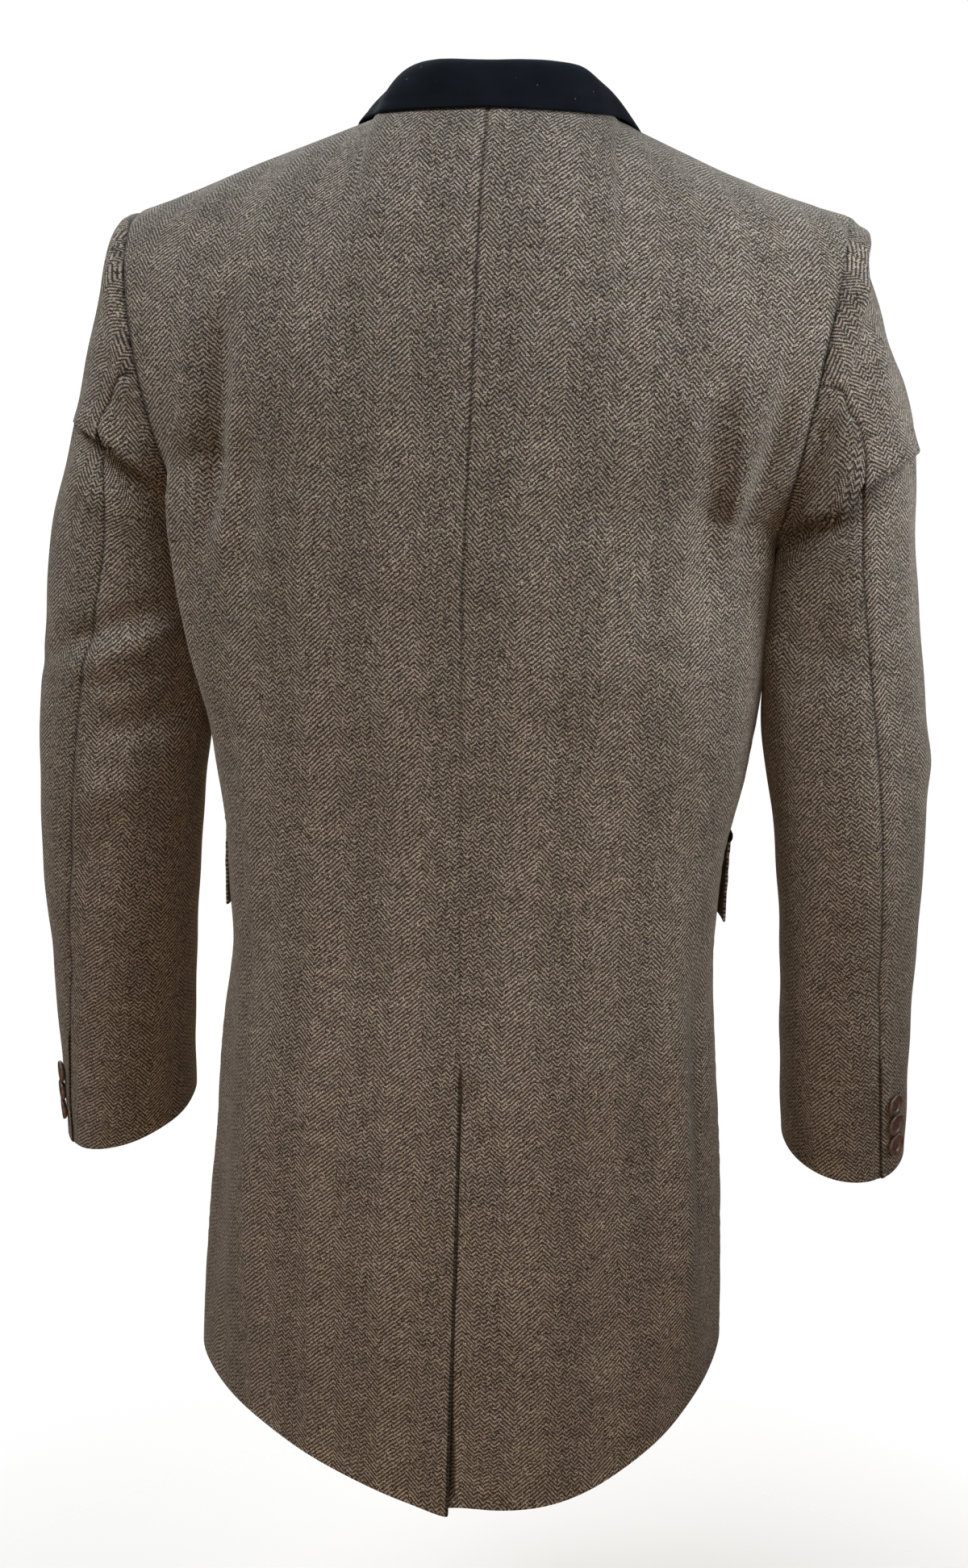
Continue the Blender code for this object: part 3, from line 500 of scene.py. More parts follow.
def lay_weave(points: Array, right: int, rows: int = 30, columns: int = 12, rounds: int = 1500) -> Array:
    """Lays straight cloth on a curved piece that hangs down by its rows, as its maker would cut it.

    Args:
        points: Rows and columns of points.
        right: 1 where the columns run to the right as the piece is looked at, or -1.
        rows: Rows that are enough to settle the cloth.
        columns: Columns that are enough.
        rounds: How long it settles.

    Returns:
        Two measures for each point. The first grows to the right, the second up the warp.
    """
    run = lengths(points[:, points.shape[1] // 2], 0)
    girth = lengths(points[len(points) // 2], 0)
    i = np.abs(np.linspace(0, run[-1], rows)[:, None] - run).argmin(1)
    j = np.abs(np.linspace(0, girth[-1], columns)[:, None] - girth).argmin(1)
    few, middle = points[np.ix_(i, j)], columns // 2
    across, along = lengths(few[..., :2], 1), lengths(few, 0)
    across = right * (across - across[:, middle, None])
    flat = settled(np.stack([across, few[-1:, :, 2] + along[-1:] - along], -1), few, rounds)
    up = unit(flat[rows // 2, middle] - flat[-1, middle])
    flat = (flat - flat[-1, middle]) @ np.array([[up[1], up[0]], [-up[0], up[1]]])
    flat = smooth(run, run[i], flat).swapaxes(0, 1)
    return smooth(girth, girth[j], flat).swapaxes(0, 1)


def mirrored(points: Array, hand: Hand) -> Array:
    """Points made for the wearer's left, moved to the given hand."""
    return points * np.array([hand.value, 1, 1])


# Finishes


class Graph:
    """A short way to write the nodes of a material or of the world."""

    def __init__(self, owner: Union[Material, bpy.types.World]) -> None:
        """Starts the nodes, with a material's Principled shader."""
        owner.use_nodes = True
        self.owner, self.tree = owner, owner.node_tree
        self.shader = self.tree.nodes.get("Principled BSDF")

    def put(self, socket: Socket, value: Value) -> None:
        """Links or sets one socket."""
        if isinstance(value, Socket):
            self.tree.links.new(value, socket)
        else:
            socket.default_value = value

    def node(self, kind: str, inputs: dict, **settings: object) -> Node:
        """Adds a node.

        Args:
            kind: The node's type.
            inputs: Values or links by socket name or number.
            settings: The node's own settings.

        Returns:
            The node.
        """
        node = self.tree.nodes.new(kind)
        for key, value in settings.items():
            setattr(node, key, value)
        for key, value in inputs.items():
            self.put(node.inputs[key], value)
        return node

    def math(self, operation: str, *values: Value) -> Socket:
        """One sum on numbers, such as ADD or FLOOR."""
        return self.node("ShaderNodeMath", dict(enumerate(values)), operation=operation).outputs[0]

    def mix(self, share: Value, first: Value, second: Value, blend: str = "MIX") -> Socket:
        """Two colours mixed by a share."""
        inputs = {0: share, 6: first, 7: second}
        return self.node("ShaderNodeMix", inputs, data_type="RGBA", blend_type=blend).outputs[2]

    def toned(self, colour: Value, by: Value) -> Socket:
        """A colour made darker or paler by a number."""
        return self.mix(1.0, colour, self.grey(by), "MULTIPLY")

    def scaled(self, place: Value, by: Triple) -> Socket:
        """A place drawn out along its axes."""
        return self.node("ShaderNodeVectorMath", {0: place, 1: by}, operation="MULTIPLY").outputs[0]

    def vector(self, x: Value, y: Value, z: Value = 0.0) -> Socket:
        """Three numbers as a place."""
        return self.node("ShaderNodeCombineXYZ", {0: x, 1: y, 2: z}).outputs[0]

    def noise(self, place: Value, scale: float, detail: float = 2.0, rough: float = 0.5) -> Socket:
        """Soft noise of about 0 to 1."""
        inputs = {"Vector": place, "Scale": scale, "Detail": detail, "Roughness": rough}
        return self.node("ShaderNodeTexNoise", inputs).outputs[0]

    def ramp(self, share: Value, stops: tuple, steps: bool = False) -> Socket:
        """A row of colours, or of numbers as greys, along a share.

        Args:
            share: From 0 to 1.
            stops: Pairs of a place and a colour or number.
            steps: True where each stop holds until the next.

        Returns:
            The colour there.
        """
        node = self.node("ShaderNodeValToRGB", {0: share})
        ramp = node.color_ramp
        ramp.interpolation = "CONSTANT" if steps else "LINEAR"
        while len(ramp.elements) < len(stops):
            ramp.elements.new(0.5)
        for element, (place, value) in zip(ramp.elements, stops):
            element.position = place
            element.color = (*value, 1.0) if isinstance(value, tuple) else (value, value, value, 1.0)
        return node.outputs[0]

    def between(self, share: Value, low: float, high: float) -> Socket:
        """A share of 0 to 1 brought to another range."""
        return self.node("ShaderNodeMapRange", {0: share, 1: 0.0, 2: 1.0, 3: low, 4: high}).outputs[0]

    def grey(self, value: Value) -> Socket:
        """A number as a grey colour."""
        return self.node("ShaderNodeCombineColor", {0: value, 1: value, 2: value}).outputs[0]

    def bump(self, height: Value, strength: float, depth: float) -> Socket:
        """A normal that follows a height."""
        inputs = {"Strength": strength, "Distance": depth, "Height": height}
        return self.node("ShaderNodeBump", inputs).outputs[0]

    def dress(self, **inputs: Value) -> Material:
        """Sets the shader's sockets, with an underscore for each space in a name.

        Args:
            inputs: Values or links by socket name.

        Returns:
            The material.
        """
        for key, value in inputs.items():
            self.put(self.shader.inputs[key.replace("_", " ")], value)
        return self.owner


@dataclass(frozen=True)
class TweedFinish:
    """A fancy herringbone in a two and two twill: dark ends, pale flecked picks."""

    end: float = 0.000775
    pick: float = 0.00078
    ends: int = 71
    top_pick: float = 27.0
    dark: Triple = (0.02, 0.0144, 0.011)
    pale: Triple = (0.18, 0.157, 0.141)
    rust: Triple = (0.19, 0.112, 0.072)
    olive: Triple = (0.158, 0.149, 0.108)
    plum: Triple = (0.18, 0.146, 0.142)
    slate: Triple = (0.118, 0.126, 0.134)
    bone: Triple = (0.33, 0.305, 0.272)
    strays: float = 0.06
    # An end of the warp, and the pick that its twill line has reached there
    chart: tuple[Pair, ...] = (
        (0, 0), (13, 13), (14, 13), (27, 26), (38, 15), (42, 19),
        (46, 15), (50, 19), (54, 15), (58, 19), (70, 7), (71, 8),
    )

    def material(self) -> Material:
        """Weaves the cloth from the measures stored on each piece, darkened where each piece stores painted
        shade.

        Returns:
            The material.
        """
        g = Graph(bpy.data.materials.new("herringbone_tweed"))
        place = g.node("ShaderNodeUVMap", {}, uv_map="weave").outputs[0]
        split = g.node("ShaderNodeSeparateXYZ", {0: place})
        slow = g.math("MULTIPLY_ADD", g.noise(place, 38.0), 0.0016, -0.0008)
        wander = g.math("MULTIPLY_ADD", g.noise(place, 330.0), 0.0004, slow)
        stray = g.math("MULTIPLY_ADD", g.noise(place, 410.0), 0.0003, -0.0002)
        across = g.math("DIVIDE", g.math("ADD", split.outputs[0], stray), self.end)
        along = g.math("DIVIDE", g.math("ADD", split.outputs[1], wander), self.pick)
        end, pick = g.math("FLOOR", across), g.math("FLOOR", along)
        share = g.math("FRACT", g.math("DIVIDE", g.math("ADD", end, 0.05), float(self.ends)))
        stops = tuple((knot / self.ends, reached / self.top_pick) for knot, reached in self.chart)
        line = g.math("FLOOR", g.math("MULTIPLY_ADD", g.ramp(share, stops), self.top_pick, 0.5))
        lift = g.math("FRACT", g.math("DIVIDE", g.math("SUBTRACT", pick, line), 4.0))
        crossing = g.node("ShaderNodeTexWhiteNoise", {"Vector": g.vector(end, pick)})
        missed = g.math("LESS_THAN", crossing.outputs["Value"], self.strays)
        warp_up = g.math("COMPARE", g.math("LESS_THAN", lift, 0.49), g.math("SUBTRACT", 1.0, missed), 0.5)
        warp, weft = self.yarns(g, split, end, pick)
        height = self.yarn_height(g, across, along, warp_up)
        colour = g.mix(warp_up, weft, warp)
        tuft = g.node("ShaderNodeSeparateColor", {0: crossing.outputs["Color"]}).outputs[1]
        fibres = g.math("MULTIPLY", g.between(g.noise(place, 1150.0, 3.0, 0.7), 0.4, 1.6),
                        g.between(tuft, 0.48, 1.52))
        # Painted shade: each yarn darker towards its sides, where its round turns from the light
        colour = g.toned(colour, g.between(height, 0.62, 1.16))
        colour = g.toned(colour, fibres)
        colour = g.toned(colour, self.mottle(g, place, share))
        # Painted shade: the cloth darkened along seams, at the vent and under crease brows
        seam = g.node("ShaderNodeAttribute", {}, attribute_name="edge_shade").outputs["Fac"]
        colour = g.toned(colour, g.between(seam, 1.0, 0.2))
        return g.dress(
            Base_Color=colour,
            Roughness=0.92,
            Specular_IOR_Level=0.12,
            Sheen_Weight=0.1,
            Sheen_Roughness=0.5,
            Sheen_Tint=(0.8, 0.74, 0.66, 1.0),
            Normal=g.bump(height, 0.35, 0.00025),
        )

    def yarns(
        self, g: Graph, split: Node, end: Value, pick: Value
    ) -> tuple[Socket, Socket]:
        """The colours of the warp and of the weft along their own yarns.

        Args:
            g: The material's nodes.
            split: The measures across and along.
            end: The warp yarn's number.
            pick: The weft yarn's number.

        Returns:
            The dark warp's colour and the pale weft's.
        """
        on_weft = g.vector(g.math("MULTIPLY", split.outputs[0], 70.0), g.math("MULTIPLY", pick, 0.83))
        on_warp = g.vector(g.math("MULTIPLY", end, 0.77), g.math("MULTIPLY", split.outputs[1], 60.0), 4.0)
        flecks = (
            (0.26, self.rust), (0.35, self.pale), (0.42, self.plum), (0.48, self.pale), (0.54, self.olive),
            (0.59, self.pale), (0.64, self.slate), (0.7, self.pale), (0.78, self.bone),
        )
        weft = g.ramp(g.noise(on_weft, 1.0, 3.0, 0.6), flecks)
        slub = g.noise(on_weft, 2.3, 2.0)
        weft = g.toned(weft, g.between(slub, 0.66, 1.34))
        warp = g.mix(g.noise(on_warp, 1.0, 2.0), self.dark_tone(0.45), self.dark_tone(1.9))
        return warp, weft

    def dark_tone(self, share: float) -> tuple[float, float, float, float]:
        """The dark yarn made paler or darker."""
        red, green, blue = self.dark
        return (red * share, green * share, blue * share, 1.0)

    def yarn_height(self, g: Graph, across: Value, along: Value, warp_up: Value) -> Socket:
        """The roundness of whichever yarn lies on top.

        Args:
            g: The material's nodes.
            across: Ends counted across, with their fractions.
            along: Picks counted along, with their fractions.
            warp_up: 1 where the warp is on top.

        Returns:
            0 at a yarn's sides and 1 along its middle.
        """
        rounds = [g.math("SINE", g.math("MULTIPLY", g.math("FRACT", way), pi)) for way in (across, along)]
        both = g.node("ShaderNodeMix", {0: warp_up, 2: rounds[1], 3: rounds[0]}, data_type="FLOAT")
        return both.outputs[0]

    def mottle(self, g: Graph, place: Value, share: Value) -> Socket:
        """How the tone drifts over the cloth in soft patches, and painted light that makes the herringbone's
        bands lighter or darker by the way their twill runs.

        Args:
            g: The material's nodes.
            place: The place on the flat cloth.
            share: The place in the herringbone's repeat.

        Returns:
            A factor near 1.
        """
        squashed = g.scaled(place, (0.55, 1.5, 1.0))
        patch = g.between(g.noise(squashed, 46.0, 3.0, 0.6), 0.66, 1.34)
        slow = g.between(g.noise(place, 9.0, 2.0), 0.86, 1.14)
        # Painted light: each band of the herringbone lighter or darker by the way its twill catches the light
        painted_band_light = ((0.0, 1.06), (28 / self.ends, 0.98), (39 / self.ends, 0.91), (59 / self.ends, 0.98))
        return g.math("MULTIPLY", g.math("MULTIPLY", patch, slow), g.ramp(share, painted_band_light, True))


@dataclass(frozen=True)
class VelvetFinish:
    """A short dark nap, brushed unevenly, with a little pale lint."""

    ground: Triple = (0.0022, 0.0034, 0.0052)
    brushed: Triple = (0.004, 0.0054, 0.0078)
    lint: Triple = (0.16, 0.17, 0.18)

    def material(self) -> Material:
        """Makes the nap.

        Returns:
            The material.
        """
        g = Graph(bpy.data.materials.new("navy_velvet"))
        place = g.node("ShaderNodeUVMap", {}, uv_map="weave").outputs[0]
        patch = g.ramp(g.noise(place, 34.0, 4.0, 0.62), ((0.36, 0.0), (0.66, 1.0)))
        nap = g.noise(place, 1500.0, 2.0, 0.7)
        colour = g.mix(patch, (*self.ground, 1.0), (*self.brushed, 1.0))
        colour = g.toned(colour, g.between(nap, 0.55, 1.45))
        specks = g.ramp(g.noise(place, 420.0, 0.0), ((0.81, 0.0), (0.86, 0.32)))
        colour = g.mix(specks, colour, (*self.lint, 1.0))
        return g.dress(
            Base_Color=colour,
            Roughness=0.95,
            Specular_IOR_Level=0.04,
            Sheen_Weight=0.03,
            Sheen_Roughness=0.4,
            Sheen_Tint=(0.45, 0.58, 0.8, 1.0),
            Normal=g.bump(nap, 0.3, 0.0003),
        )


@dataclass(frozen=True)
class HornFinish:
    """Turned brown horn with darker streaks."""

    brown: Triple = (0.105, 0.06, 0.042)
    dark: Triple = (0.022, 0.012, 0.009)

    def material(self) -> Material:
        """Makes the horn.

        Returns:
            The material.
        """
        g = Graph(bpy.data.materials.new("brown_horn"))
        place = g.node("ShaderNodeTexCoord", {}).outputs["Object"]
        streaks = g.scaled(place, (1.0, 1.0, 0.25))
        grain = g.noise(streaks, 420.0, 4.0, 0.65)
        colour = g.mix(g.ramp(grain, ((0.34, 0.0), (0.66, 1.0))), (*self.dark, 1.0), (*self.brown, 1.0))
        rough = g.between(g.noise(place, 900.0, 2.0), 0.3, 0.52)
        return g.dress(
            Base_Color=colour,
            Roughness=rough,
            Specular_IOR_Level=0.5,
            Coat_Weight=0.15,
            Coat_Roughness=0.3,
            Normal=g.bump(grain, 0.12, 0.0003),
        )


@dataclass(frozen=True)
class ThreadFinish:
    """Twisted sewing thread."""

    colour: Triple = (0.045, 0.034, 0.028)
    twist: float = 0.0011

    def material(self) -> Material:
        """Makes the thread, with its twist along its length and painted shade in the twist's grooves.

        Returns:
            The material.
        """
        g = Graph(bpy.data.materials.new("button_thread"))
        split = g.node("ShaderNodeSeparateXYZ", {0: g.node("ShaderNodeUVMap", {}, uv_map="weave").outputs[0]})
        turn = g.math("ADD", g.math("DIVIDE", split.outputs[1], self.twist), split.outputs[0])
        strand = g.math("SINE", g.math("MULTIPLY", g.math("FRACT", turn), pi))
        # Painted shade: each strand darker towards the grooves between strands
        colour = g.mix(strand, (*(0.45 * tone for tone in self.colour), 1.0), (*self.colour, 1.0))
        return g.dress(Base_Color=colour, Roughness=0.7, Normal=g.bump(strand, 0.5, 0.0001))


@dataclass(frozen=True)
class FloorFinish:
    """A pale floor that fades into the backdrop's white."""

    pale: Triple = (0.86, 0.86, 0.86)
    near: float = 0.1
    far: float = 0.75

    def material(self) -> Material:
        """Makes the floor.

        Returns:
            The material.
        """
        g = Graph(bpy.data.materials.new("pale_floor"))
        place = g.node("ShaderNodeTexCoord", {}).outputs["Object"]
        reach = g.node("ShaderNodeVectorMath", {0: place}, operation="LENGTH").outputs["Value"]
        fade = g.node("ShaderNodeMapRange", {0: reach, 1: self.near, 2: self.far}).outputs[0]
        tone = g.mix(g.noise(place, 3.0), (*self.pale, 1.0), (*(0.97 * tone for tone in self.pale), 1.0))
        g.dress(Base_Color=tone, Roughness=0.8)
        clear = g.node("ShaderNodeBsdfTransparent", {}).outputs[0]
        mixed = g.node("ShaderNodeMixShader", {0: fade, 1: g.shader.outputs[0], 2: clear}).outputs[0]
        g.put(g.tree.nodes["Material Output"].inputs["Surface"], mixed)
        return g.owner


# The torso


class Ring(NamedTuple):
    """A ring of the torso: its height, half its width on either hand, its depths, and how square it is."""

    z: float
    left: float
    right: float
    back: float
    front: float
    square: float
    square_left: float
    square_right: float


def column(rows: tuple, name: str) -> Array:
    """One column of a table of named rows."""
    return np.array([getattr(row, name) for row in rows], float)


@dataclass
class Torso:
    """The form of the body: a line across each back and front at each level.

    Level 0 is the hem, 1 the underarm, 2 across the blades, and 3 the neckline and the shoulder seam.
    """

    underarm_z: float = -0.267
    blade_z: float = -0.178
    hem_z: dict = field(default_factory=lambda: {Face.BACK: -0.892, Face.FRONT: -0.872})
    hem_side: dict = by_hand(-0.844, -0.82)
    hem_sweep: dict = by_hand(1.13, 2.45)
    side_seam_y: float = 0.022
    armhole_middle: Triple = (0.2125, -0.003, -0.16)
    armhole_rise: float = 0.107
    armhole_lean: float = 0.0225
    armhole_back: dict = by_hand(0.0115, 0.0025)
    armhole_front: float = 0.0115
    armhole_depth: Pair = (0.072, 0.075)
    armhole_turn: dict = by_hand(radians(120), radians(150))
    hang: dict = by_hand((0.7, 1.0), (0.86, 1.0))
    turn_rounds: int = 6
    line_points: int = 61
    tail_points: int = 21
    lap_points: int = 9
    bow_power: float = 2.3
    end_power: int = 6
    neck_square: float = 2.2
    tuck_eased: Pair = (0.588, 0.606)
    tuck_reach: dict = field(default_factory=lambda: {Face.BACK: 0.035, Face.FRONT: 0.075})
    front_untucked: Pair = (-0.23, -0.19)
    lap_eased: float = 0.02
    shoulder_reach: dict = by_hand(0.002, -0.005)
    shoulder_lift: dict = by_hand(0.0, 0.003)
    shoulder_sag: dict = by_hand(0.0, 0.005)
    nape: Triple = (0.0, 0.058, 0.012)
    neck_point: Triple = (0.078, -0.01, 0.01)
    break_z: float = -0.31
    front_lap: float = 0.022
    front_tuck: float = 0.0068
    vent_top: float = -0.603
    vent_lap: float = 0.04
    vent_tuck: float = 0.0036
    rings: tuple[Ring, ...] = (
        Ring(-0.9, 0.195, 0.1795, 0.17, 0.166, 2.15, 1.75, 2.2),
        Ring(-0.84, 0.1945, 0.179, 0.164, 0.162, 2.15, 1.8, 2.2),
        Ring(-0.76, 0.1908, 0.177, 0.153, 0.156, 2.2, 1.95, 2.2),
        Ring(-0.68, 0.184, 0.173, 0.142, 0.15, 2.25, 2.15, 2.2),
        Ring(-0.61, 0.1795, 0.167, 0.132, 0.144, 2.3, 2.3, 2.3),
        Ring(-0.545, 0.1715, 0.163, 0.122, 0.138, 2.3, 2.3, 2.3),
        Ring(-0.48, 0.175, 0.1668, 0.116, 0.135, 2.3, 2.3, 2.3),
        Ring(-0.41, 0.184, 0.1812, 0.114, 0.136, 2.35, 2.35, 2.35),
        Ring(-0.34, 0.1885, 0.1902, 0.116, 0.14, 2.4, 2.4, 2.4),
        Ring(-0.267, 0.188, 0.188, 0.119, 0.142, 2.4, 2.4, 2.4),
        Ring(-0.178, 0.2, 0.2, 0.118, 0.134, 2.4, 2.4, 2.4),
    )
    # How far the centre back seam strays to the wearer's left at a height
    strays: tuple[Pair, ...] = (
        (-0.9, 0.0), (-0.6, 0.001), (-0.42, 0.005),
        (-0.27, 0.0055), (-0.18, 0.003), (0.01, 0.0),
    )

    def ring(self, name: str, z: float) -> float:
        """One measure of the rings at a height."""
        return float(smooth(z, column(self.rings, "z"), column(self.rings, name)))

    def swing(self, hand: Hand, s: Array) -> Array:
        """How far the armhole swings out at its back, or in at its front, by the sine of its angle."""
        return np.where(s >= 0, self.armhole_back[hand], self.armhole_front) * s

    def armhole(self, hand: Hand, angle: Array) -> Array:
        """Points of the armhole on the wearer's left.

        Args:
            hand: Which armhole.
            angle: 0 at the shoulder, a quarter turn at the back, a half at the underarm.

        Returns:
            A point for each angle.
        """
        c, s = np.cos(angle), np.sin(angle)
        top = (1 + c) / 2
        x = self.armhole_middle[0] + self.armhole_lean * c + self.swing(hand, s)
        x = x + self.shoulder_reach[hand] * top
        y = self.armhole_middle[1] + np.where(s >= 0, *self.armhole_depth) * s
        z = self.armhole_middle[2] + self.armhole_rise * c + self.shoulder_lift[hand] * top
        return np.stack([x, y, z], -1)

    def hung_line(self, hand: Hand, edge: Array, depth: float, turn: float, end: float) -> Array:
        """A line seen from above that hangs from the armhole, bowed to its turn and then along the edge.

        Args:
            hand: Which side.
            edge: The line's last point.
            depth: How far back or forward its middle is.
            turn: The armhole's angle where the line turns in.
            end: The armhole's angle where it ends.

        Returns:
            The line's points, evenly spread.
        """
        even = np.linspace(0, 1, self.line_points)
        corner = self.armhole(hand, turn)
        bowed_y = depth - (depth - corner[1]) * even**self.bow_power
        bowed = np.stack([corner[0] * even, bowed_y, 0 * even], -1)
        tail = self.armhole(hand, np.linspace(turn, end, self.tail_points)) * np.array([1, 1, 0])
        line = spread(np.concatenate([bowed, tail]), even)
        for _ in range(self.turn_rounds):
            line[1:-1] = (line[:-2] + 2 * line[1:-1] + line[2:]) / 4
        line[:, :2] += (edge[:2] - line[-1, :2]) * even[:, None] ** self.end_power
        return spread(line, even)

    def cross_line(
        self, hand: Hand, edge: Array, depth: float, z_middle: float, square: float, hung: Array, bow: float,
        start: float, over: Union[Array, None],
    ) -> Array:
        """One line across a panel, from the middle, or a lap past it, to the side seam or the armhole.

        Args:
            hand: Which side.
            edge: The line's last point.
            depth: How far back or forward its middle is.
            z_middle: Its height there.
            square: How square its corner is.
            hung: The line that hangs from the armhole.
            bow: From 0, a round line, to 1, the hung one.
            start: Where it starts, below zero for a lap.
            over: The line that a lap runs under.

        Returns:
            The line's points.
        """
        turn = np.linspace(0, pi / 2, self.line_points)
        even = np.linspace(0, 1, self.line_points)
        power = 2 / square
        round_y = edge[1] + (depth - edge[1]) * np.cos(turn) ** power
        rounded = spread(np.stack([edge[0] * np.sin(turn) ** power, round_y, 0 * turn], -1), even)
        line = rounded * (1 - bow) + hung * bow
        if start < 0:
            lap_x = np.linspace(start, 0, self.lap_points)[:-1]
            under = line if over is None else over
            lap = np.stack([lap_x, np.interp(-lap_x, under[:, 0], under[:, 1]), 0 * lap_x], -1)
            line = np.concatenate([lap, line])
        elif start > 0:
            cut = np.array([start, np.interp(start, line[:, 0], line[:, 1]), 0.0])
            line = np.concatenate([[cut], line[line[:, 0] > start + 1e-4]])
        share = np.clip(line[:, 0] / edge[0], 0, 1)
        line[:, 2] = z_middle + (edge[2] - z_middle) * share ** self.hem_sweep[hand]
        return line

    def middle_z(self, face: Face, w: float) -> float:
        """The height of a level at the middle of a back or front."""
        if w <= 1:
            return self.hem_z[face] + (self.underarm_z - self.hem_z[face]) * w
        return self.underarm_z + (self.blade_z - self.underarm_z) * (w - 1)

    def level_at(self, face: Face, z: float) -> float:
        """The level of a height below the underarm."""
        return (z - self.hem_z[face]) / (self.underarm_z - self.hem_z[face])

    def lap_at(self, z: float) -> float:
        """How far the right back runs on under the left at a height."""
        return self.vent_lap * float(ease(-z, -self.vent_top, -self.vent_top + self.lap_eased))

    def start_of(self, hand: Hand, face: Face, z: float) -> Pair:
        """Where a line starts and how far it is pushed in there.

        Args:
            hand, face: Which panel.
            z: The height.

        Returns:
            The start and the push.
        """
        if face is Face.FRONT:
            share = np.clip((z - self.break_z) / (self.neck_point[2] - self.break_z), 0.0, 1.0)
            start = -self.front_lap + (self.neck_point[0] + self.front_lap) * float(share)
            tuck = self.front_tuck * float(1 - ease(z, *self.front_untucked))
            return start, tuck if hand is Hand.RIGHT else 0.0
        if hand is Hand.RIGHT:
            return -self.lap_at(z), self.vent_tuck * float(ease(-z, *self.tuck_eased))
        return 0.0, 0.0

    def level_line(self, hand: Hand, face: Face, w: float) -> Array:
        """The line across a panel at a level from the hem to the blades.

        Args:
            hand, face: Which panel.
            w: The level.

        Returns:
            The line's points on the wearer's left.
        """
        sign = face.value
        z_middle = self.middle_z(face, w)
        angle = pi
        if w <= 1:
            z_edge = self.hem_side[hand] + (self.underarm_z - self.hem_side[hand]) * w
            forward = self.armhole_middle[1] - self.side_seam_y
            y_edge = self.side_seam_y + forward * float(ease(w, 0.55, 1.0))
            edge = np.array([self.ring(hand.word, z_edge), y_edge, z_edge])
            edge[0] += (self.armhole(hand, pi)[0] - edge[0]) * float(ease(w, 0.9, 1.0))
        else:
            angle -= (w - 1) * pi / 2 * sign
            edge = self.armhole(hand, angle)
        bow = float(ease(w, 1.0, 2.0) if face is Face.FRONT else ease(w, *self.hang[hand]))
        depth = sign * self.ring(face.word, z_middle)
        square = self.ring("square" if face is Face.FRONT else f"square_{hand.word}", z_middle)
        start, tuck = self.start_of(hand, face, z_middle)
        over = self.level_line(Hand.LEFT, face, w) if face is Face.BACK and start < 0 else None
        turn = angle if face is Face.FRONT else min(self.armhole_turn[hand], angle)
        hung = self.hung_line(hand, edge, depth, turn, angle)
        line = self.cross_line(hand, edge, depth, z_middle, square, hung, bow, start, over)
        line[:, 1] -= sign * tuck * (1 - ease(line[:, 0], 0.004, self.tuck_reach[face]))
        if face is Face.BACK:
            stray = float(smooth(z_middle, *zip(*self.strays)))
            line[:, 0] += hand.value * stray * (1 - np.clip(line[:, 0] / edge[0], 0, 1)) ** 2
        return line

    def top_line(self, hand: Hand, face: Face) -> Array:
        """The neckline and the shoulder seam, or for a front the shoulder seam alone.

        Args:
            hand, face: Which panel.

        Returns:
            The line's points on the wearer's left.
        """
        neck, shoulder = np.array(self.neck_point), self.armhole(hand, 0.0)
        share = np.linspace(0, 1, 21)[:, None]
        seam = neck + (shoulder - neck) * share
        seam[:, 2] -= self.shoulder_sag[hand] * 4 * (share * (1 - share))[:, 0]
        if face is Face.FRONT:
            return seam
        turn = np.linspace(0, pi / 2, 31)[:-1]
        power = 2 / self.neck_square
        x = neck[0] * np.sin(turn) ** power
        y = neck[1] + (self.nape[1] - neck[1]) * np.cos(turn) ** power
        z = self.nape[2] + (neck[2] - self.nape[2]) * x / neck[0]
        return np.concatenate([np.stack([x, y, z], -1), seam])

    def line(self, hand: Hand, face: Face, w: float, shares: Array) -> Array:
        """Points across a panel at one level.

        Args:
            hand, face: Which panel.
            w: The level.
            shares: Shares of the way from the middle to the panel's edge.

        Returns:
            A point on the wearer's left for each share.
        """
        shares = np.asarray(shares, float)
        if w <= 2:
            return spread(self.level_line(hand, face, w), shares)
        turn = (3 - w) * pi / 2
        to_edge = np.append(shares, 1.0)
        low = spread(self.level_line(hand, face, 2.0), to_edge)
        top = spread(self.top_line(hand, face), to_edge)
        points = top + (low - top) * np.array([1 - cos(turn), sin(turn), 1 - cos(turn)])
        end = self.armhole(hand, turn * face.value)
        return points[:-1] + (end - points[-1]) * (shares**3)[:, None]


# Backs and fronts

# Where the shoulder's seam lies flat, where the underarm starts, and what is near the arm
SHOULDER = (-0.13, -0.06)
UNDERARM = (0.14, 0.18)
NEAR_ARM = (0.08, 0.12)
# How wide a seam's painted shade line and a turned edge are
SEAM_SHADE_WIDTH = 0.001
EDGE_REACH = 0.012


def puckered(height: float, along: Array, seams: Array, waves: Pair, reach: float) -> Array:
    """Small wrinkles of a height beside seams, by how long a wrinkle is, how that drifts, and their reach."""
    wrinkle = np.sin(2 * pi * along / waves[0] + 3 * np.sin(along / waves[1]))
    return height * wrinkle * bell(seams, reach) * ease(seams, 0.0, 0.003)


class Cut(NamedTuple):
    """How far the cloth's lines stray from the centre back at a height, and how far it is eased."""

    z: float
    left: float
    right: float
    eased: float


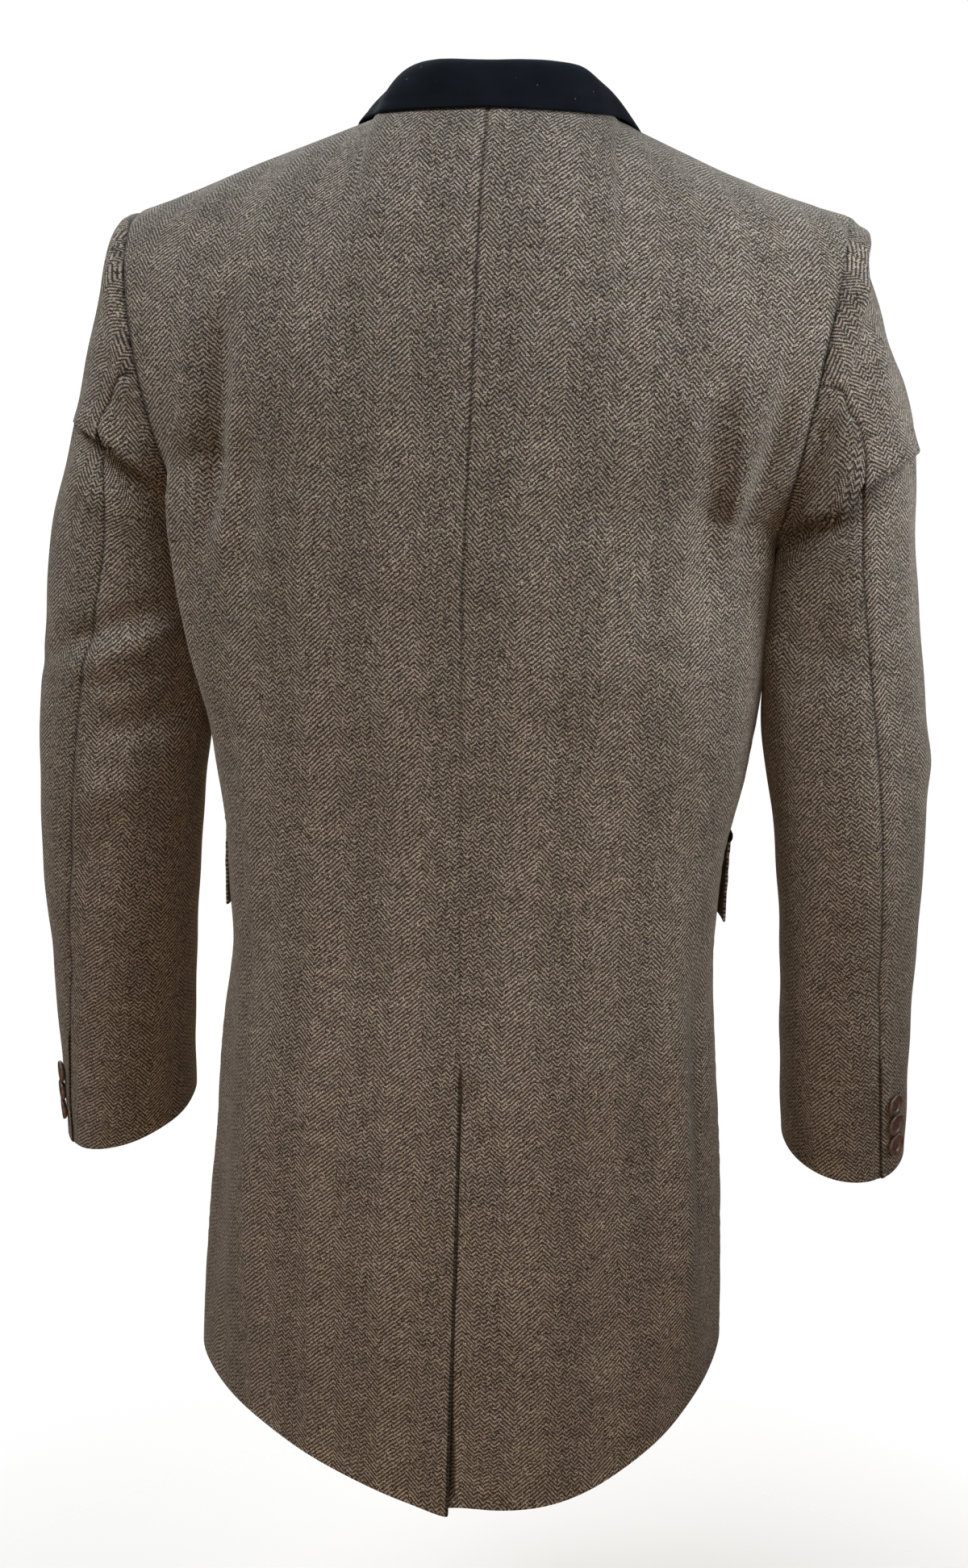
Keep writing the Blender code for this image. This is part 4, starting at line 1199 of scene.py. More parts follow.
@dataclass
class Panel:
    """A dressed torso panel, kept so that what lies on it can be made from its points."""

    levels: Array
    shares: Array
    points: Array
    normals: Array
    weave: Array
    widths: Array

    def at(self, u: Array, w: Array) -> tuple[Array, Array, Array]:
        """The panel's surface at given places.

        Args:
            u: Shares of the way across.
            w: Levels.

        Returns:
            Points, outward normals and measures on the flat cloth.
        """
        r = np.interp(w, self.levels, np.arange(len(self.levels)))
        c = np.interp(u, self.shares, np.arange(len(self.shares)))
        i = np.clip(r.astype(int), 0, len(self.levels) - 2)
        j = np.clip(c.astype(int), 0, len(self.shares) - 2)
        r, c = (r - i)[..., None], (c - j)[..., None]

        def between(values: Array) -> Array:
            """Values between the four nearest points."""
            low = values[i, j] * (1 - c) + values[i, j + 1] * c
            high = values[i + 1, j] * (1 - c) + values[i + 1, j + 1] * c
            return low * (1 - r) + high * r

        return between(self.points), unit(between(self.normals)), between(self.weave)

    def width_at(self, w: Array) -> Array:
        """The panel's width at levels."""
        return np.interp(w, self.levels, self.widths)


@dataclass
class BodyPanels:
    """The two backs and the two fronts, with their drape."""

    torso: Torso
    cloth: float = 0.002
    turned: float = 0.001
    step: float = 0.0036
    seam_depth: float = 0.0011
    seam_reach: float = 0.0024
    still: float = 0.016
    unevenness: float = 0.00045
    pucker: float = 0.00028
    pucker_waves: Pair = (0.017, 0.011)
    pucker_reach: float = 0.009
    weft_drop: float = 0.06
    weave_start: ClassVar[dict] = {
        (Hand.LEFT, Face.BACK): -0.0599,
        (Hand.RIGHT, Face.BACK): 0.038,
        (Hand.LEFT, Face.FRONT): 0.012,
        (Hand.RIGHT, Face.FRONT): -0.031,
    }
    cuts: tuple[Cut, ...] = (
        Cut(-0.88, 0.011, -0.006, -0.035),
        Cut(-0.79, 0.0109, -0.004, -0.0265),
        Cut(-0.735, 0.0099, 0.0, -0.0212),
        Cut(-0.685, 0.0106, 0.0038, -0.0164),
        Cut(-0.63, 0.0113, 0.0087, -0.0116),
        Cut(-0.55, 0.0143, 0.0105, -0.0064),
        Cut(-0.43, 0.0129, 0.0074, -0.0014),
        Cut(-0.33, 0.0081, 0.0045, 0.0),
        Cut(-0.225, 0.0046, 0.003, 0.0),
        Cut(-0.13, 0.0, 0.0, 0.0),
        Cut(-0.03, -0.002, -0.001, 0.0),
    )
    folds: ClassVar[dict] = {
        (Hand.LEFT, Face.BACK): (
            Fold(((0.227, -0.845), (0.176, -0.508)), 0.026, -0.0045),
            Fold(((0.175, -0.856), (0.139, -0.542)), 0.03, 0.0035),
            Fold(((0.174, -0.095), (0.168, -0.18), (0.172, -0.27)), 0.022, -0.003),
            Fold(((0.199, -0.17), (0.21, -0.286)), 0.018, 0.003),
            Fold(((0.18, -0.1), (0.188, -0.148), (0.189, -0.181), (0.186, -0.215)), 0.01, 0.003),
            Fold(((0.165, -0.095), (0.167, -0.133), (0.168, -0.182), (0.177, -0.242), (0.192, -0.32)),
                 0.0075, -0.0048),
            Fold(((0.155, -0.15), (0.17, -0.3)), 0.009, 0.0026),
            Fold(((0.143, -0.185), (0.148, -0.335)), 0.01, -0.0024),
            Fold(((0.158, -0.5), (0.157, -0.59), (0.15, -0.69)), 0.02, -0.003),
            Fold(((0.06, -0.35), (0.075, -0.5), (0.066, -0.64)), 0.034, -0.0014),
            Fold(((0.02, -0.64), (0.05, -0.86)), 0.026, 0.0016),
        ),
        (Hand.RIGHT, Face.BACK): (
            Fold(((0.192, -0.85), (0.164, -0.667), (0.142, -0.48)), 0.018, 0.005),
            Fold(((0.214, -0.83), (0.19, -0.667), (0.165, -0.51)), 0.015, -0.005),
            Fold(((0.11, -0.895), (0.106, -0.61)), 0.034, -0.0035),
            Fold(((0.172, -0.1), (0.178, -0.19), (0.186, -0.29)), 0.014, 0.0034),
            Fold(((0.203, -0.125), (0.202, -0.165), (0.196, -0.201), (0.193, -0.24), (0.194, -0.3)),
                 0.01, -0.005),
            Fold(((0.163, -0.12), (0.183, -0.295)), 0.006, 0.0018),
            Fold(((0.15, -0.13), (0.166, -0.33)), 0.01, -0.003),
            Fold(((0.022, -0.11), (0.027, -0.27)), 0.013, 0.0011),
            Fold(((0.203, -0.58), (0.202, -0.68)), 0.012, 0.0016),
            Fold(((0.05, -0.33), (0.07, -0.47), (0.062, -0.6)), 0.032, -0.0013),
        ),
        (Hand.LEFT, Face.FRONT): (
            Fold(((0.215, -0.85), (0.19, -0.56)), 0.03, 0.005),
            Fold(((0.14, -0.865), (0.13, -0.64)), 0.03, -0.004),
            Fold(((0.15, -0.12), (0.165, -0.25)), 0.014, -0.0025),
            Fold(((0.09, -0.33), (0.15, -0.42)), 0.02, -0.0016),
        ),
        (Hand.RIGHT, Face.FRONT): (
            Fold(((0.218, -0.85), (0.185, -0.56)), 0.03, 0.005),
            Fold(((0.146, -0.865), (0.122, -0.63)), 0.03, -0.004),
            Fold(((0.146, -0.115), (0.16, -0.255)), 0.014, -0.0025),
            Fold(((0.095, -0.345), (0.155, -0.43)), 0.02, -0.0016),
        ),
    }
    vent_gape: float = 0.0026
    vent_edge: float = 0.001
    vent_rise: float = 0.0044
    vent_dip: float = 0.0026
    shoulder_flat: dict = by_hand(0.1, 0.7)
    fold_gain: float = 1.3
    underlap_rise: float = 0.008
    hem_rise: float = 0.0062
    quiet_seam: float = 0.65
    vent_opens: float = 2.2
    vent_flares: Pair = (0.8, 0.89)
    vent_gapes: Pair = (0.62, 0.88)
    vent_clear: Pair = (0.618, 0.632)
    vent_fades: Pair = (0.012, 0.04)
    vent_soft: float = 0.004
    vent_flush: float = 0.025
    vent_shadow: float = 0.0014
    gape_reach: float = 0.016
    flush_from: Pair = (-0.005, -0.002)
    seam_shadow: float = 0.0006
    quiet_from: Pair = (0.2, 0.5)
    quiet_near: Pair = (0.01, 0.02)
    underarm_end: Pair = (0.27, 0.3)
    hem_bell: Pair = (0.02, 0.045)
    underlap: Pair = (0.016, 0.026)
    hem_rounds: float = 0.06
    groove: Pair = (0.0008, 0.0023)
    groove_shares: tuple[float, float, int] = (0.114, 0.156, 26)
    panels: dict = field(default_factory=dict)

    def levels(self, face: Face) -> Array:
        """The levels of a panel's rows."""
        torso = self.torso
        skirt = torso.underarm_z - torso.hem_z[face]
        low = graded(2 * skirt, self.step)
        top = graded(0.4, self.step)
        upper = np.linspace(1, 2, int(0.105 / self.step))
        return np.concatenate([low[low < 0.498] * 2, upper, 2 + 2 * (top[top > 0.504] - 0.5)])

    def build(self, finish: Material) -> None:
        """Makes the four panels in tweed."""
        for hand, face in product(Hand, Face):
            self.build_panel(hand, face, finish)

    def sewn_start(self, face: Face, levels: Array) -> Array:
        """How far a panel's first edge is sewn at each level: the centre back seam down to the vent."""
        if face is Face.FRONT:
            return np.zeros(len(levels))
        heights = np.array([self.torso.middle_z(face, min(w, 2.0)) for w in levels])
        return ease(heights, self.torso.vent_top - 0.004, self.torso.vent_top + 0.01)

    def measures(self, hand: Hand, face: Face, base: Array, levels: Array) -> tuple[Array, Array]:
        """A panel's own measures.

        Args:
            hand, face: Which panel.
            base: Its points before its drape.
            levels: Its rows' levels.

        Returns:
            The distance across from the centre back or the front's edge, and the height along its columns.
        """
        across = lengths(base, 1)
        if hand is Hand.RIGHT and face is Face.BACK:
            laps = [self.torso.lap_at(self.torso.middle_z(face, w)) if w <= 1 else 0.0 for w in levels]
            across = across - np.array(laps)[:, None]
        blade = int(np.argmin(abs(levels - 2)))
        level = unit(np.gradient(base, axis=1) * np.array([1, 1, 0]))[:-1]
        steps = np.diff(base, axis=0)
        steps = steps - level * (steps * level).sum(-1, keepdims=True)
        along = np.cumsum(np.linalg.norm(np.insert(steps, 0, 0.0, axis=0), axis=-1), axis=0)
        return across, along - along[blade] + base[blade, :, 2]

    def weave_of(self, hand: Hand, face: Face, across: Array, along: Array) -> Array:
        """Where a panel's points lie on the flat cloth.

        Args:
            hand, face: Which panel.
            across: Distances across the panel.
            along: Heights along its columns.

        Returns:
            Two measures for each point. The first grows to the right as the panel is looked at.
        """
        right = -hand.value * face.value
        shift = np.zeros_like(along)
        if face is Face.BACK:
            shift = smooth(along, column(self.cuts, "z"), column(self.cuts, hand.word))
        along = along + smooth(along, column(self.cuts, "z"), column(self.cuts, "eased"))
        u = right * (across + shift)
        return np.stack([u - self.weave_start[hand, face], along + self.weft_drop * u], -1)

    def drape(
        self, hand: Hand, face: Face, across: Array, along: Array, to_edges: tuple
    ) -> tuple[Array, Array, Array]:
        """How the cloth leaves its plain form.

        Args:
            hand, face: Which panel.
            across: Distances across the panel.
            along: Heights along its columns.
            to_edges: Distances to the first and last columns and rows, then the first column's sewn share.

        Returns:
            The lift, the extra thickness, and the painted shade along seams and at the vent.
        """
        start, end, bottom, top, sewn = to_edges
        seams = np.minimum(np.minimum(end, top), start + 10.0 * (1 - sewn))
        lift = self.unevenness * ripple(across, along, 11 * hand.value + 3 * face.value + 40)
        for fold in self.folds[hand, face]:
            lift = lift + self.fold_gain * fold.lift(across, along)
        lift = lift * ease(seams, 0.0, self.still)
        lift += puckered(self.pucker, along, seams, self.pucker_waves, self.pucker_reach)
        flat = 1 - self.shoulder_flat[hand] * ease(along, *SHOULDER) * ease(start, *NEAR_ARM)
        if face is Face.BACK:
            near = 1 - ease(start, *self.quiet_near)
            flat = flat * (1 - self.quiet_seam * ease(-along, *self.quiet_from) * near)
        underarm = ease(-along, *UNDERARM) * (1 - ease(-along, *self.underarm_end)) * ease(start, *NEAR_ARM)
        lift -= self.seam_depth * bell(seams, self.seam_reach) * flat * (1 - underarm)
        if face is Face.BACK:
            lift += self.vent_lift(hand, across, along, bottom, sewn)
        free = np.minimum(bottom, start + 10.0 * sewn)
        extra = self.turned * bell(free, EDGE_REACH)
        # Painted shade: a thin dark line along each seam
        dark = bell(seams, SEAM_SHADE_WIDTH) * flat
        # Painted shadow at the vent, along the left back's edge and on the right back beside it
        if face is Face.BACK:
            wide = self.vent_shadow * (1 + self.vent_opens * ease(-along, *self.vent_flares))
            shadow = bell(across, self.seam_shadow)
            if hand is Hand.RIGHT:
                shadow = bell(across - 0.0004, wide) * ease(-along, *self.vent_clear)
            dark = np.maximum(dark, (1 - sewn) * shadow)
        return lift, extra, dark

    def vent_lift(self, hand: Hand, across: Array, along: Array, bottom: Array, sewn: Array) -> Array:
        """How the two backs lie at the vent: the left gapes to the hem, the right dips in under it.

        Args:
            hand: Which side.
            across: Distances across from the centre back.
            along: Heights along its columns.
            bottom: Distances from the hem.
            sewn: 1 in rows where the two are sewn together.

        Returns:
            The lift at each point.
        """
        gape = self.vent_gape * ease(-along, *self.vent_gapes)
        if hand is Hand.LEFT:
            return (1 - sewn) * (self.vent_edge + gape) * bell(across, self.gape_reach)
        across = across / (1 + self.vent_opens * ease(-along, *self.vent_flares))
        flush = (1 - ease(bottom, 0.0, self.vent_flush)) * ease(across, *self.flush_from)
        soft = self.vent_soft * (1 - ease(-along, *self.vent_clear))
        out = np.maximum(ease(across, self.groove[0] - soft, self.groove[1] + soft), flush)
        level = self.vent_rise * out * (1 - ease(across, *self.vent_fades))
        level = level * ease(-along, *self.torso.tuck_eased)
        return level - (1 - sewn) * self.vent_dip * (1 - out)

    def build_panel(self, hand: Hand, face: Face, finish: Material) -> None:
        """Makes one panel.

        Args:
            hand, face: Which panel.
            finish: The tweed.
        """
        name = f"{face.word}_{hand.word}"
        levels, shares = self.levels(face), graded(0.26, self.step)
        if hand is Hand.RIGHT and face is Face.BACK:
            fine = np.linspace(*self.groove_shares)
            outside = (shares < fine[0] - 0.004) | (shares > fine[-1] + 0.004)
            shares = np.sort(np.concatenate([shares[outside], fine]))
        base = np.array([self.torso.line(hand, face, w, shares) for w in levels])
        across, along = self.measures(hand, face, base, levels)
        if hand is Hand.RIGHT and face is Face.BACK:
            low = 1 - ease(along - along[:1], 0.0, self.hem_rounds)
            base[..., 2] += low * self.underlap_rise * ease(-across, *self.underlap)
            base[..., 2] += low * self.hem_rise * bell(across - self.hem_bell[0], self.hem_bell[1])
        sewn = self.sewn_start(face, levels)[:, None]
        sides = (across - across[:, :1], across[:, -1:] - across)
        to_edges = (*sides, along - along[:1], along[-1:] - along, sewn)
        lift, extra, shade = self.drape(hand, face, across, along, to_edges)
        out = grid_normals(base, np.array([0.0, face.value, 0.0]))
        points = mirrored(base + out * lift[..., None], hand)
        normals = grid_normals(points, np.array([0.0, face.value, 0.0]))
        weave = self.weave_of(hand, face, across, along)
        self.panels[hand, face] = Panel(levels, shares, points, normals, weave, across[:, -1] - across[:, 0])
        free = (1.0, 0.0, 1 - sewn[:, 0], 0.0)
        sheet = Sheet(name, Slot.TWEED, points, normals, self.cloth + extra, weave, shade, free)
        sheet.build(finish, "hung", "collar_stand")


# Sleeves


class SleeveRing(NamedTuple):
    """A ring of a sleeve, seen from behind.

    Its inner and outer ends, its middle in depth, half its depth, how far it tips down to the back, its share
    of the armhole's swing, how far its back and front bulge out, and the angles of its two seams.
    """

    in_x: float
    in_z: float
    out_x: float
    out_z: float
    mid_y: float
    half_y: float
    tip: float
    swing: float
    bulge: float
    hind: float
    fore: float


LEFT_SLEEVE = tuple(SleeveRing(*row) for row in (
    (0.193, -0.27, 0.2475, -0.0585, -0.003, 0.0735, 0.0, 1.0, 0.004, 89, 255),
    (0.1945, -0.2735, 0.253, -0.086, -0.003, 0.0735, 0.0, 0.8, 0.008, 87, 254),
    (0.195, -0.2785, 0.2652, -0.135, -0.003, 0.072, 0.0, 0.6, 0.009, 82, 253),
    (0.195, -0.286, 0.283, -0.2, -0.002, 0.069, 0.0, 0.4, 0.006, 92, 252),
    (0.1945, -0.302, 0.3, -0.266, -0.001, 0.066, 0.0, 0.2, 0.003, 91, 251),
    (0.194, -0.337, 0.308, -0.335, 0.0, 0.063, 0.0, 0.0, 0.0, 79, 250),
    (0.1932, -0.39, 0.3122, -0.39, 0.0, 0.062, -0.02, 0.0, 0.0, 71, 248),
    (0.2002, -0.45, 0.3148, -0.45, -0.004, 0.061, -0.06, 0.0, 0.0, 68, 246),
    (0.2065, -0.52, 0.316, -0.52, -0.013, 0.059, -0.12, 0.0, 0.0, 63, 244),
    (0.2115, -0.588, 0.314, -0.59, -0.024, 0.056, -0.16, 0.0, 0.0, 55, 243),
    (0.215, -0.64, 0.313, -0.65, -0.034, 0.0535, -0.2, 0.0, 0.0, 46, 242),
    (0.217, -0.688, 0.312, -0.714, -0.044, 0.0515, -0.25, 0.0, 0.0, 38, 241),
))
RIGHT_SLEEVE = tuple(SleeveRing(*row) for row in (
    (0.193, -0.27, 0.2456, -0.057, -0.003, 0.0735, 0.0, 1.0, 0.004, 89, 255),
    (0.194, -0.2735, 0.2448, -0.083, -0.003, 0.0735, 0.0, 0.8, 0.008, 87, 254),
    (0.1945, -0.2785, 0.2615, -0.122, -0.003, 0.0725, 0.0, 0.6, 0.009, 84, 253),
    (0.1945, -0.286, 0.2803, -0.19, -0.002, 0.07, 0.0, 0.4, 0.006, 90, 252),
    (0.1928, -0.302, 0.2852, -0.25, -0.001, 0.0665, 0.0, 0.2, 0.003, 85, 251),
    (0.1908, -0.337, 0.2935, -0.325, 0.0, 0.0635, 0.0, 0.0, 0.0, 76, 250),
    (0.1892, -0.39, 0.301, -0.388, 0.0, 0.062, -0.02, 0.0, 0.0, 71, 248),
    (0.2003, -0.45, 0.3045, -0.45, -0.003, 0.061, -0.06, 0.0, 0.0, 70, 246),
    (0.2078, -0.52, 0.3045, -0.52, -0.011, 0.059, -0.13, 0.0, 0.0, 67, 244),
    (0.2125, -0.585, 0.305, -0.585, -0.021, 0.056, -0.19, 0.0, 0.0, 64, 243),
    (0.216, -0.64, 0.3065, -0.64, -0.03, 0.0535, -0.25, 0.0, 0.0, 60, 242),
    (0.2195, -0.691, 0.309, -0.697, -0.04, 0.0515, -0.29, 0.0, 0.0, 56, 241),
))


class SleevePiece(Enum):
    """The two pieces of a sleeve."""

    TOP = "topsleeve"
    UNDER = "undersleeve"


@dataclass
class Sleeves:
    """Two-piece sleeves, sewn along the hindarm and the forearm, with a buttoned vent at the cuff."""

    torso: Torso
    cloth: float = 0.002
    turned: float = 0.0009
    step: float = 0.0036
    round_girth: float = 0.062
    widths: dict = field(default_factory=lambda: {SleevePiece.TOP: 0.29, SleevePiece.UNDER: 0.17})
    seam_depth: float = 0.0011
    seam_reach: float = 0.0024
    still: float = 0.01
    unevenness: float = 0.0005
    pucker: float = 0.00022
    pucker_waves: Pair = (0.015, 0.012)
    pucker_reach: float = 0.008
    vent_rise: float = 0.1
    vent_lap: float = 0.0006
    vent_reach: float = 0.01
    vent_eased: float = 0.006
    underarm_near: Pair = (0.006, 0.012)
    crease_dark: float = 0.65
    creased: Pair = (-0.285, -0.165)
    armhole_hind: float = 90.0
    armhole_fore: float = 255.0
    head_ease: float = 0.0002
    underarm_ease: float = 0.0003
    shoulder_flat: dict = by_hand(0.1, 0.7)
    weave_start: ClassVar[dict] = {
        (Hand.LEFT, SleevePiece.TOP): 0.013,
        (Hand.LEFT, SleevePiece.UNDER): 0.03,
        (Hand.RIGHT, SleevePiece.TOP): -0.013,
        (Hand.RIGHT, SleevePiece.UNDER): 0.02,
    }
    rings: dict = by_hand(LEFT_SLEEVE, RIGHT_SLEEVE)
    folds: ClassVar[dict] = {
        Hand.LEFT: (
            Fold(((30, -0.19), (58, -0.196), (86, -0.206), (110, -0.221), (140, -0.243)),
                 0.016, 0.0056, taper=0.3, brow=0.0012),
            Fold(((78, -0.17), (96, -0.184), (114, -0.206)), 0.006, -0.0026),
            Fold(((30, -0.222), (80, -0.236), (125, -0.262)), 0.013, 0.003),
            Fold(((-25, -0.372), (72, -0.336), (102, -0.323), (160, -0.306)), 0.009, -0.0045),
            Fold(((50, -0.364), (105, -0.341), (146, -0.324)), 0.011, 0.005),
            Fold(((70, -0.4), (125, -0.388), (172, -0.366)), 0.014, -0.0055),
            Fold(((60, -0.452), (125, -0.433)), 0.015, 0.0022),
            Fold(((195, -0.395), (240, -0.41), (285, -0.425)), 0.014, -0.005),
            Fold(((0, -0.56), (90, -0.585)), 0.016, -0.0022),
            Fold(((40, -0.495), (110, -0.48)), 0.018, -0.0018),
        ),
        Hand.RIGHT: (
            Fold(((14, -0.198), (36, -0.202), (76, -0.216), (105, -0.237), (132, -0.246), (172, -0.256)),
                 0.016, 0.0054, steps=24, taper=0.2, brow=0.0012),
            Fold(((47, -0.088), (54, -0.1), (60, -0.113)), 0.005, 0.0028),
            Fold(((146, -0.232), (151, -0.3), (156, -0.39)), 0.02, 0.0088),
            Fold(((50, -0.25), (90, -0.256), (135, -0.276)), 0.012, 0.003),
            Fold(((92, -0.178), (112, -0.196), (138, -0.218)), 0.005, -0.0035, 1.3),
            Fold(((-60, -0.06), (0, -0.053), (45, -0.066)), 0.01, -0.005),
            Fold(((-25, -0.076), (15, -0.076), (50, -0.09)), 0.009, -0.0044),
            Fold(((-20, -0.112), (10, -0.122), (28, -0.15)), 0.018, -0.0045),
            Fold(((40, -0.11), (56, -0.145), (62, -0.185)), 0.012, 0.0022),
            Fold(((25, -0.185), (48, -0.196)), 0.007, -0.0022),
            Fold(((36, -0.262), (64, -0.272)), 0.009, -0.0022),
            Fold(((60, -0.345), (123, -0.326), (168, -0.306)), 0.016, -0.0042),
            Fold(((-30, -0.415), (60, -0.395)), 0.018, 0.0028),
            Fold(((195, -0.4), (240, -0.415), (285, -0.43)), 0.014, -0.005),
            Fold(((10, -0.545), (100, -0.565)), 0.016, -0.0022),
        ),
    }
    grids: dict = field(default_factory=dict)

    def seams(self, hand: Hand, piece: SleevePiece) -> tuple[Array, Array]:
        """The angles of a piece's two seams, at the armhole and at each ring.

        Args:
            hand, piece: Which piece of which sleeve.

        Returns:
            The angles where it starts and ends, in degrees.
        """
        hind = np.concatenate([[self.armhole_hind], column(self.rings[hand], "hind")])
        fore = np.concatenate([[self.armhole_fore], column(self.rings[hand], "fore")])
        return (fore - 360, hind) if piece is SleevePiece.TOP else (hind, fore)

    def form(self, hand: Hand, piece: SleevePiece, at: Array, shares: Array) -> tuple[Array, Array]:
        """A sleeve piece before its drape.

        Args:
            hand, piece: Which piece of which sleeve.
            at: Ring numbers, with 0 for the armhole.
            shares: Shares of the piece's width.

        Returns:
            Its points on the wearer's left, and their angles in degrees.
        """
        rings = self.rings[hand]
        start, end = self.seams(hand, piece)
        angles = start[:, None] + (end - start)[:, None] * np.asarray(shares)
        turn = np.radians(angles)
        head = self.torso.armhole(hand, turn[0])
        head[:, 0] += self.head_ease + self.underarm_ease * (1 - np.cos(turn[0])) / 2
        knots = [head]
        for ring, angle in zip(rings, turn[1:]):
            c, s = np.cos(angle), np.sin(angle)
            x = (ring.in_x + ring.out_x) / 2 + (ring.out_x - ring.in_x) / 2 * c
            x = x + ring.swing * self.torso.swing(hand, s) + ring.bulge * s * s
            z = (ring.in_z + ring.out_z) / 2 + (ring.out_z - ring.in_z) / 2 * c + ring.tip * ring.half_y * s
            knots.append(np.stack([x, ring.mid_y + ring.half_y * s, z], -1))
        numbers = np.arange(len(rings) + 1)
        return smooth(at, numbers, np.array(knots)), smooth(at, numbers, angles)

    def build(self, finish: Material) -> None:
        """Makes the four sleeve pieces in tweed."""
        for hand, piece in product(Hand, SleevePiece):
            self.build_piece(hand, piece, finish)

    def row_numbers(self, hand: Hand, piece: SleevePiece) -> Array:
        """Ring numbers in even steps of length, closer at the two ends and over the main crease."""
        fine = np.linspace(0, len(self.rings[hand]), 400)
        middle = self.form(hand, piece, fine, np.array([0.5]))[0][:, 0]
        run = lengths(middle, 0)
        numbers = np.interp(graded(run[-1], self.step), run / run[-1], fine)
        drop = np.interp(numbers, fine, middle[:, 2])
        creased = (drop[:-1] > self.creased[0]) & (drop[:-1] < self.creased[1])
        return np.sort(np.concatenate([numbers, (numbers[:-1] + numbers[1:])[creased] / 2]))

    def drape(self, hand: Hand, piece: SleevePiece, base: Array, angles: Array) -> tuple[Array, Array, Array]:
        """How the cloth leaves its plain form.

        Args:
            hand, piece: Which piece of which sleeve.
            base: Its points before its drape.
            angles: Their angles in degrees.

        Returns:
            The lift, the extra thickness, and the painted shade along seams and under crease brows.
        """
        girth, drop = np.radians(angles) * self.round_girth, base[..., 2]
        lift = self.unevenness * ripple(girth, drop, 70 + 5 * hand.value)
        dark = np.zeros_like(lift)
        for fold in self.folds[hand]:
            flat = tuple((radians(angle) * self.round_girth, z) for angle, z in fold.path)
            placed = replace(fold, path=flat)
            for whole in (-2 * pi, 0.0, 2 * pi):
                lift = lift + placed.lift(girth + whole * self.round_girth, drop)
                # Painted shadow under the crease's brow
                dark = dark + self.crease_dark * placed.shadow(girth + whole * self.round_girth, drop)
        across, along = lengths(base, 1), lengths(base, 0)
        start, end = across, across[:, -1:] - across
        cuff = along[-1:] - along
        seams = np.minimum(np.minimum(start, end), along)
        lift *= ease(along, 0.0, self.still)
        lift += puckered(self.pucker, along, seams, self.pucker_waves, self.pucker_reach)
        vent = 1 - ease(cuff, self.vent_rise - self.vent_eased, self.vent_rise)
        at_vent = vent * bell(end if piece is SleevePiece.TOP else start, self.vent_reach)
        flat = 1 - self.shoulder_flat[hand] * ease(drop, *SHOULDER)
        underarm = ease(-drop, *UNDERARM) * (1 - ease(along, *self.underarm_near))
        lift -= self.seam_depth * bell(seams, self.seam_reach) * (1 - at_vent) * flat * (1 - underarm)
        lift += at_vent * (self.vent_lap if piece is SleevePiece.TOP else -self.vent_lap)
        # Painted shade along the seams, and the painted shadow under the brows
        return lift, self.turned * bell(cuff, EDGE_REACH), np.maximum(bell(seams, SEAM_SHADE_WIDTH) * flat, dark)

    def build_piece(self, hand: Hand, piece: SleevePiece, finish: Material) -> None:
        """Makes one sleeve piece.

        Args:
            hand, piece: Which piece of which sleeve.
            finish: The tweed.
        """
        name = f"{piece.value}_{hand.word}"
        rows = self.row_numbers(hand, piece)
        base, angles = self.form(hand, piece, rows, graded(self.widths[piece], self.step))
        lift, extra, shade = self.drape(hand, piece, base, angles)
        middle = base.mean(1, keepdims=True)
        points = mirrored(base + grid_normals(base, base - middle) * lift[..., None], hand)
        normals = grid_normals(points, points - points.mean(1, keepdims=True))
        self.grids[hand, piece] = (points, normals)
        weave = lay_weave(base, hand.value) + np.array([self.weave_start[hand, piece], 0.0])
        free = (0.0, 1.0, 0.0, 0.0)
        sheet = Sheet(name, Slot.TWEED, points, normals, self.cloth + extra, weave, shade, free)
        sheet.build(finish, "hung", f"back_{hand.word}_cloth", f"front_{hand.word}_cloth")


# Collar


class CollarStation(NamedTuple):
    """A station of half the collar: its fold, then the panel, share and level where its edge lies."""

    fold_x: float
    fold_y: float
    fold_z: float
    face: Face
    u: float
    w: float


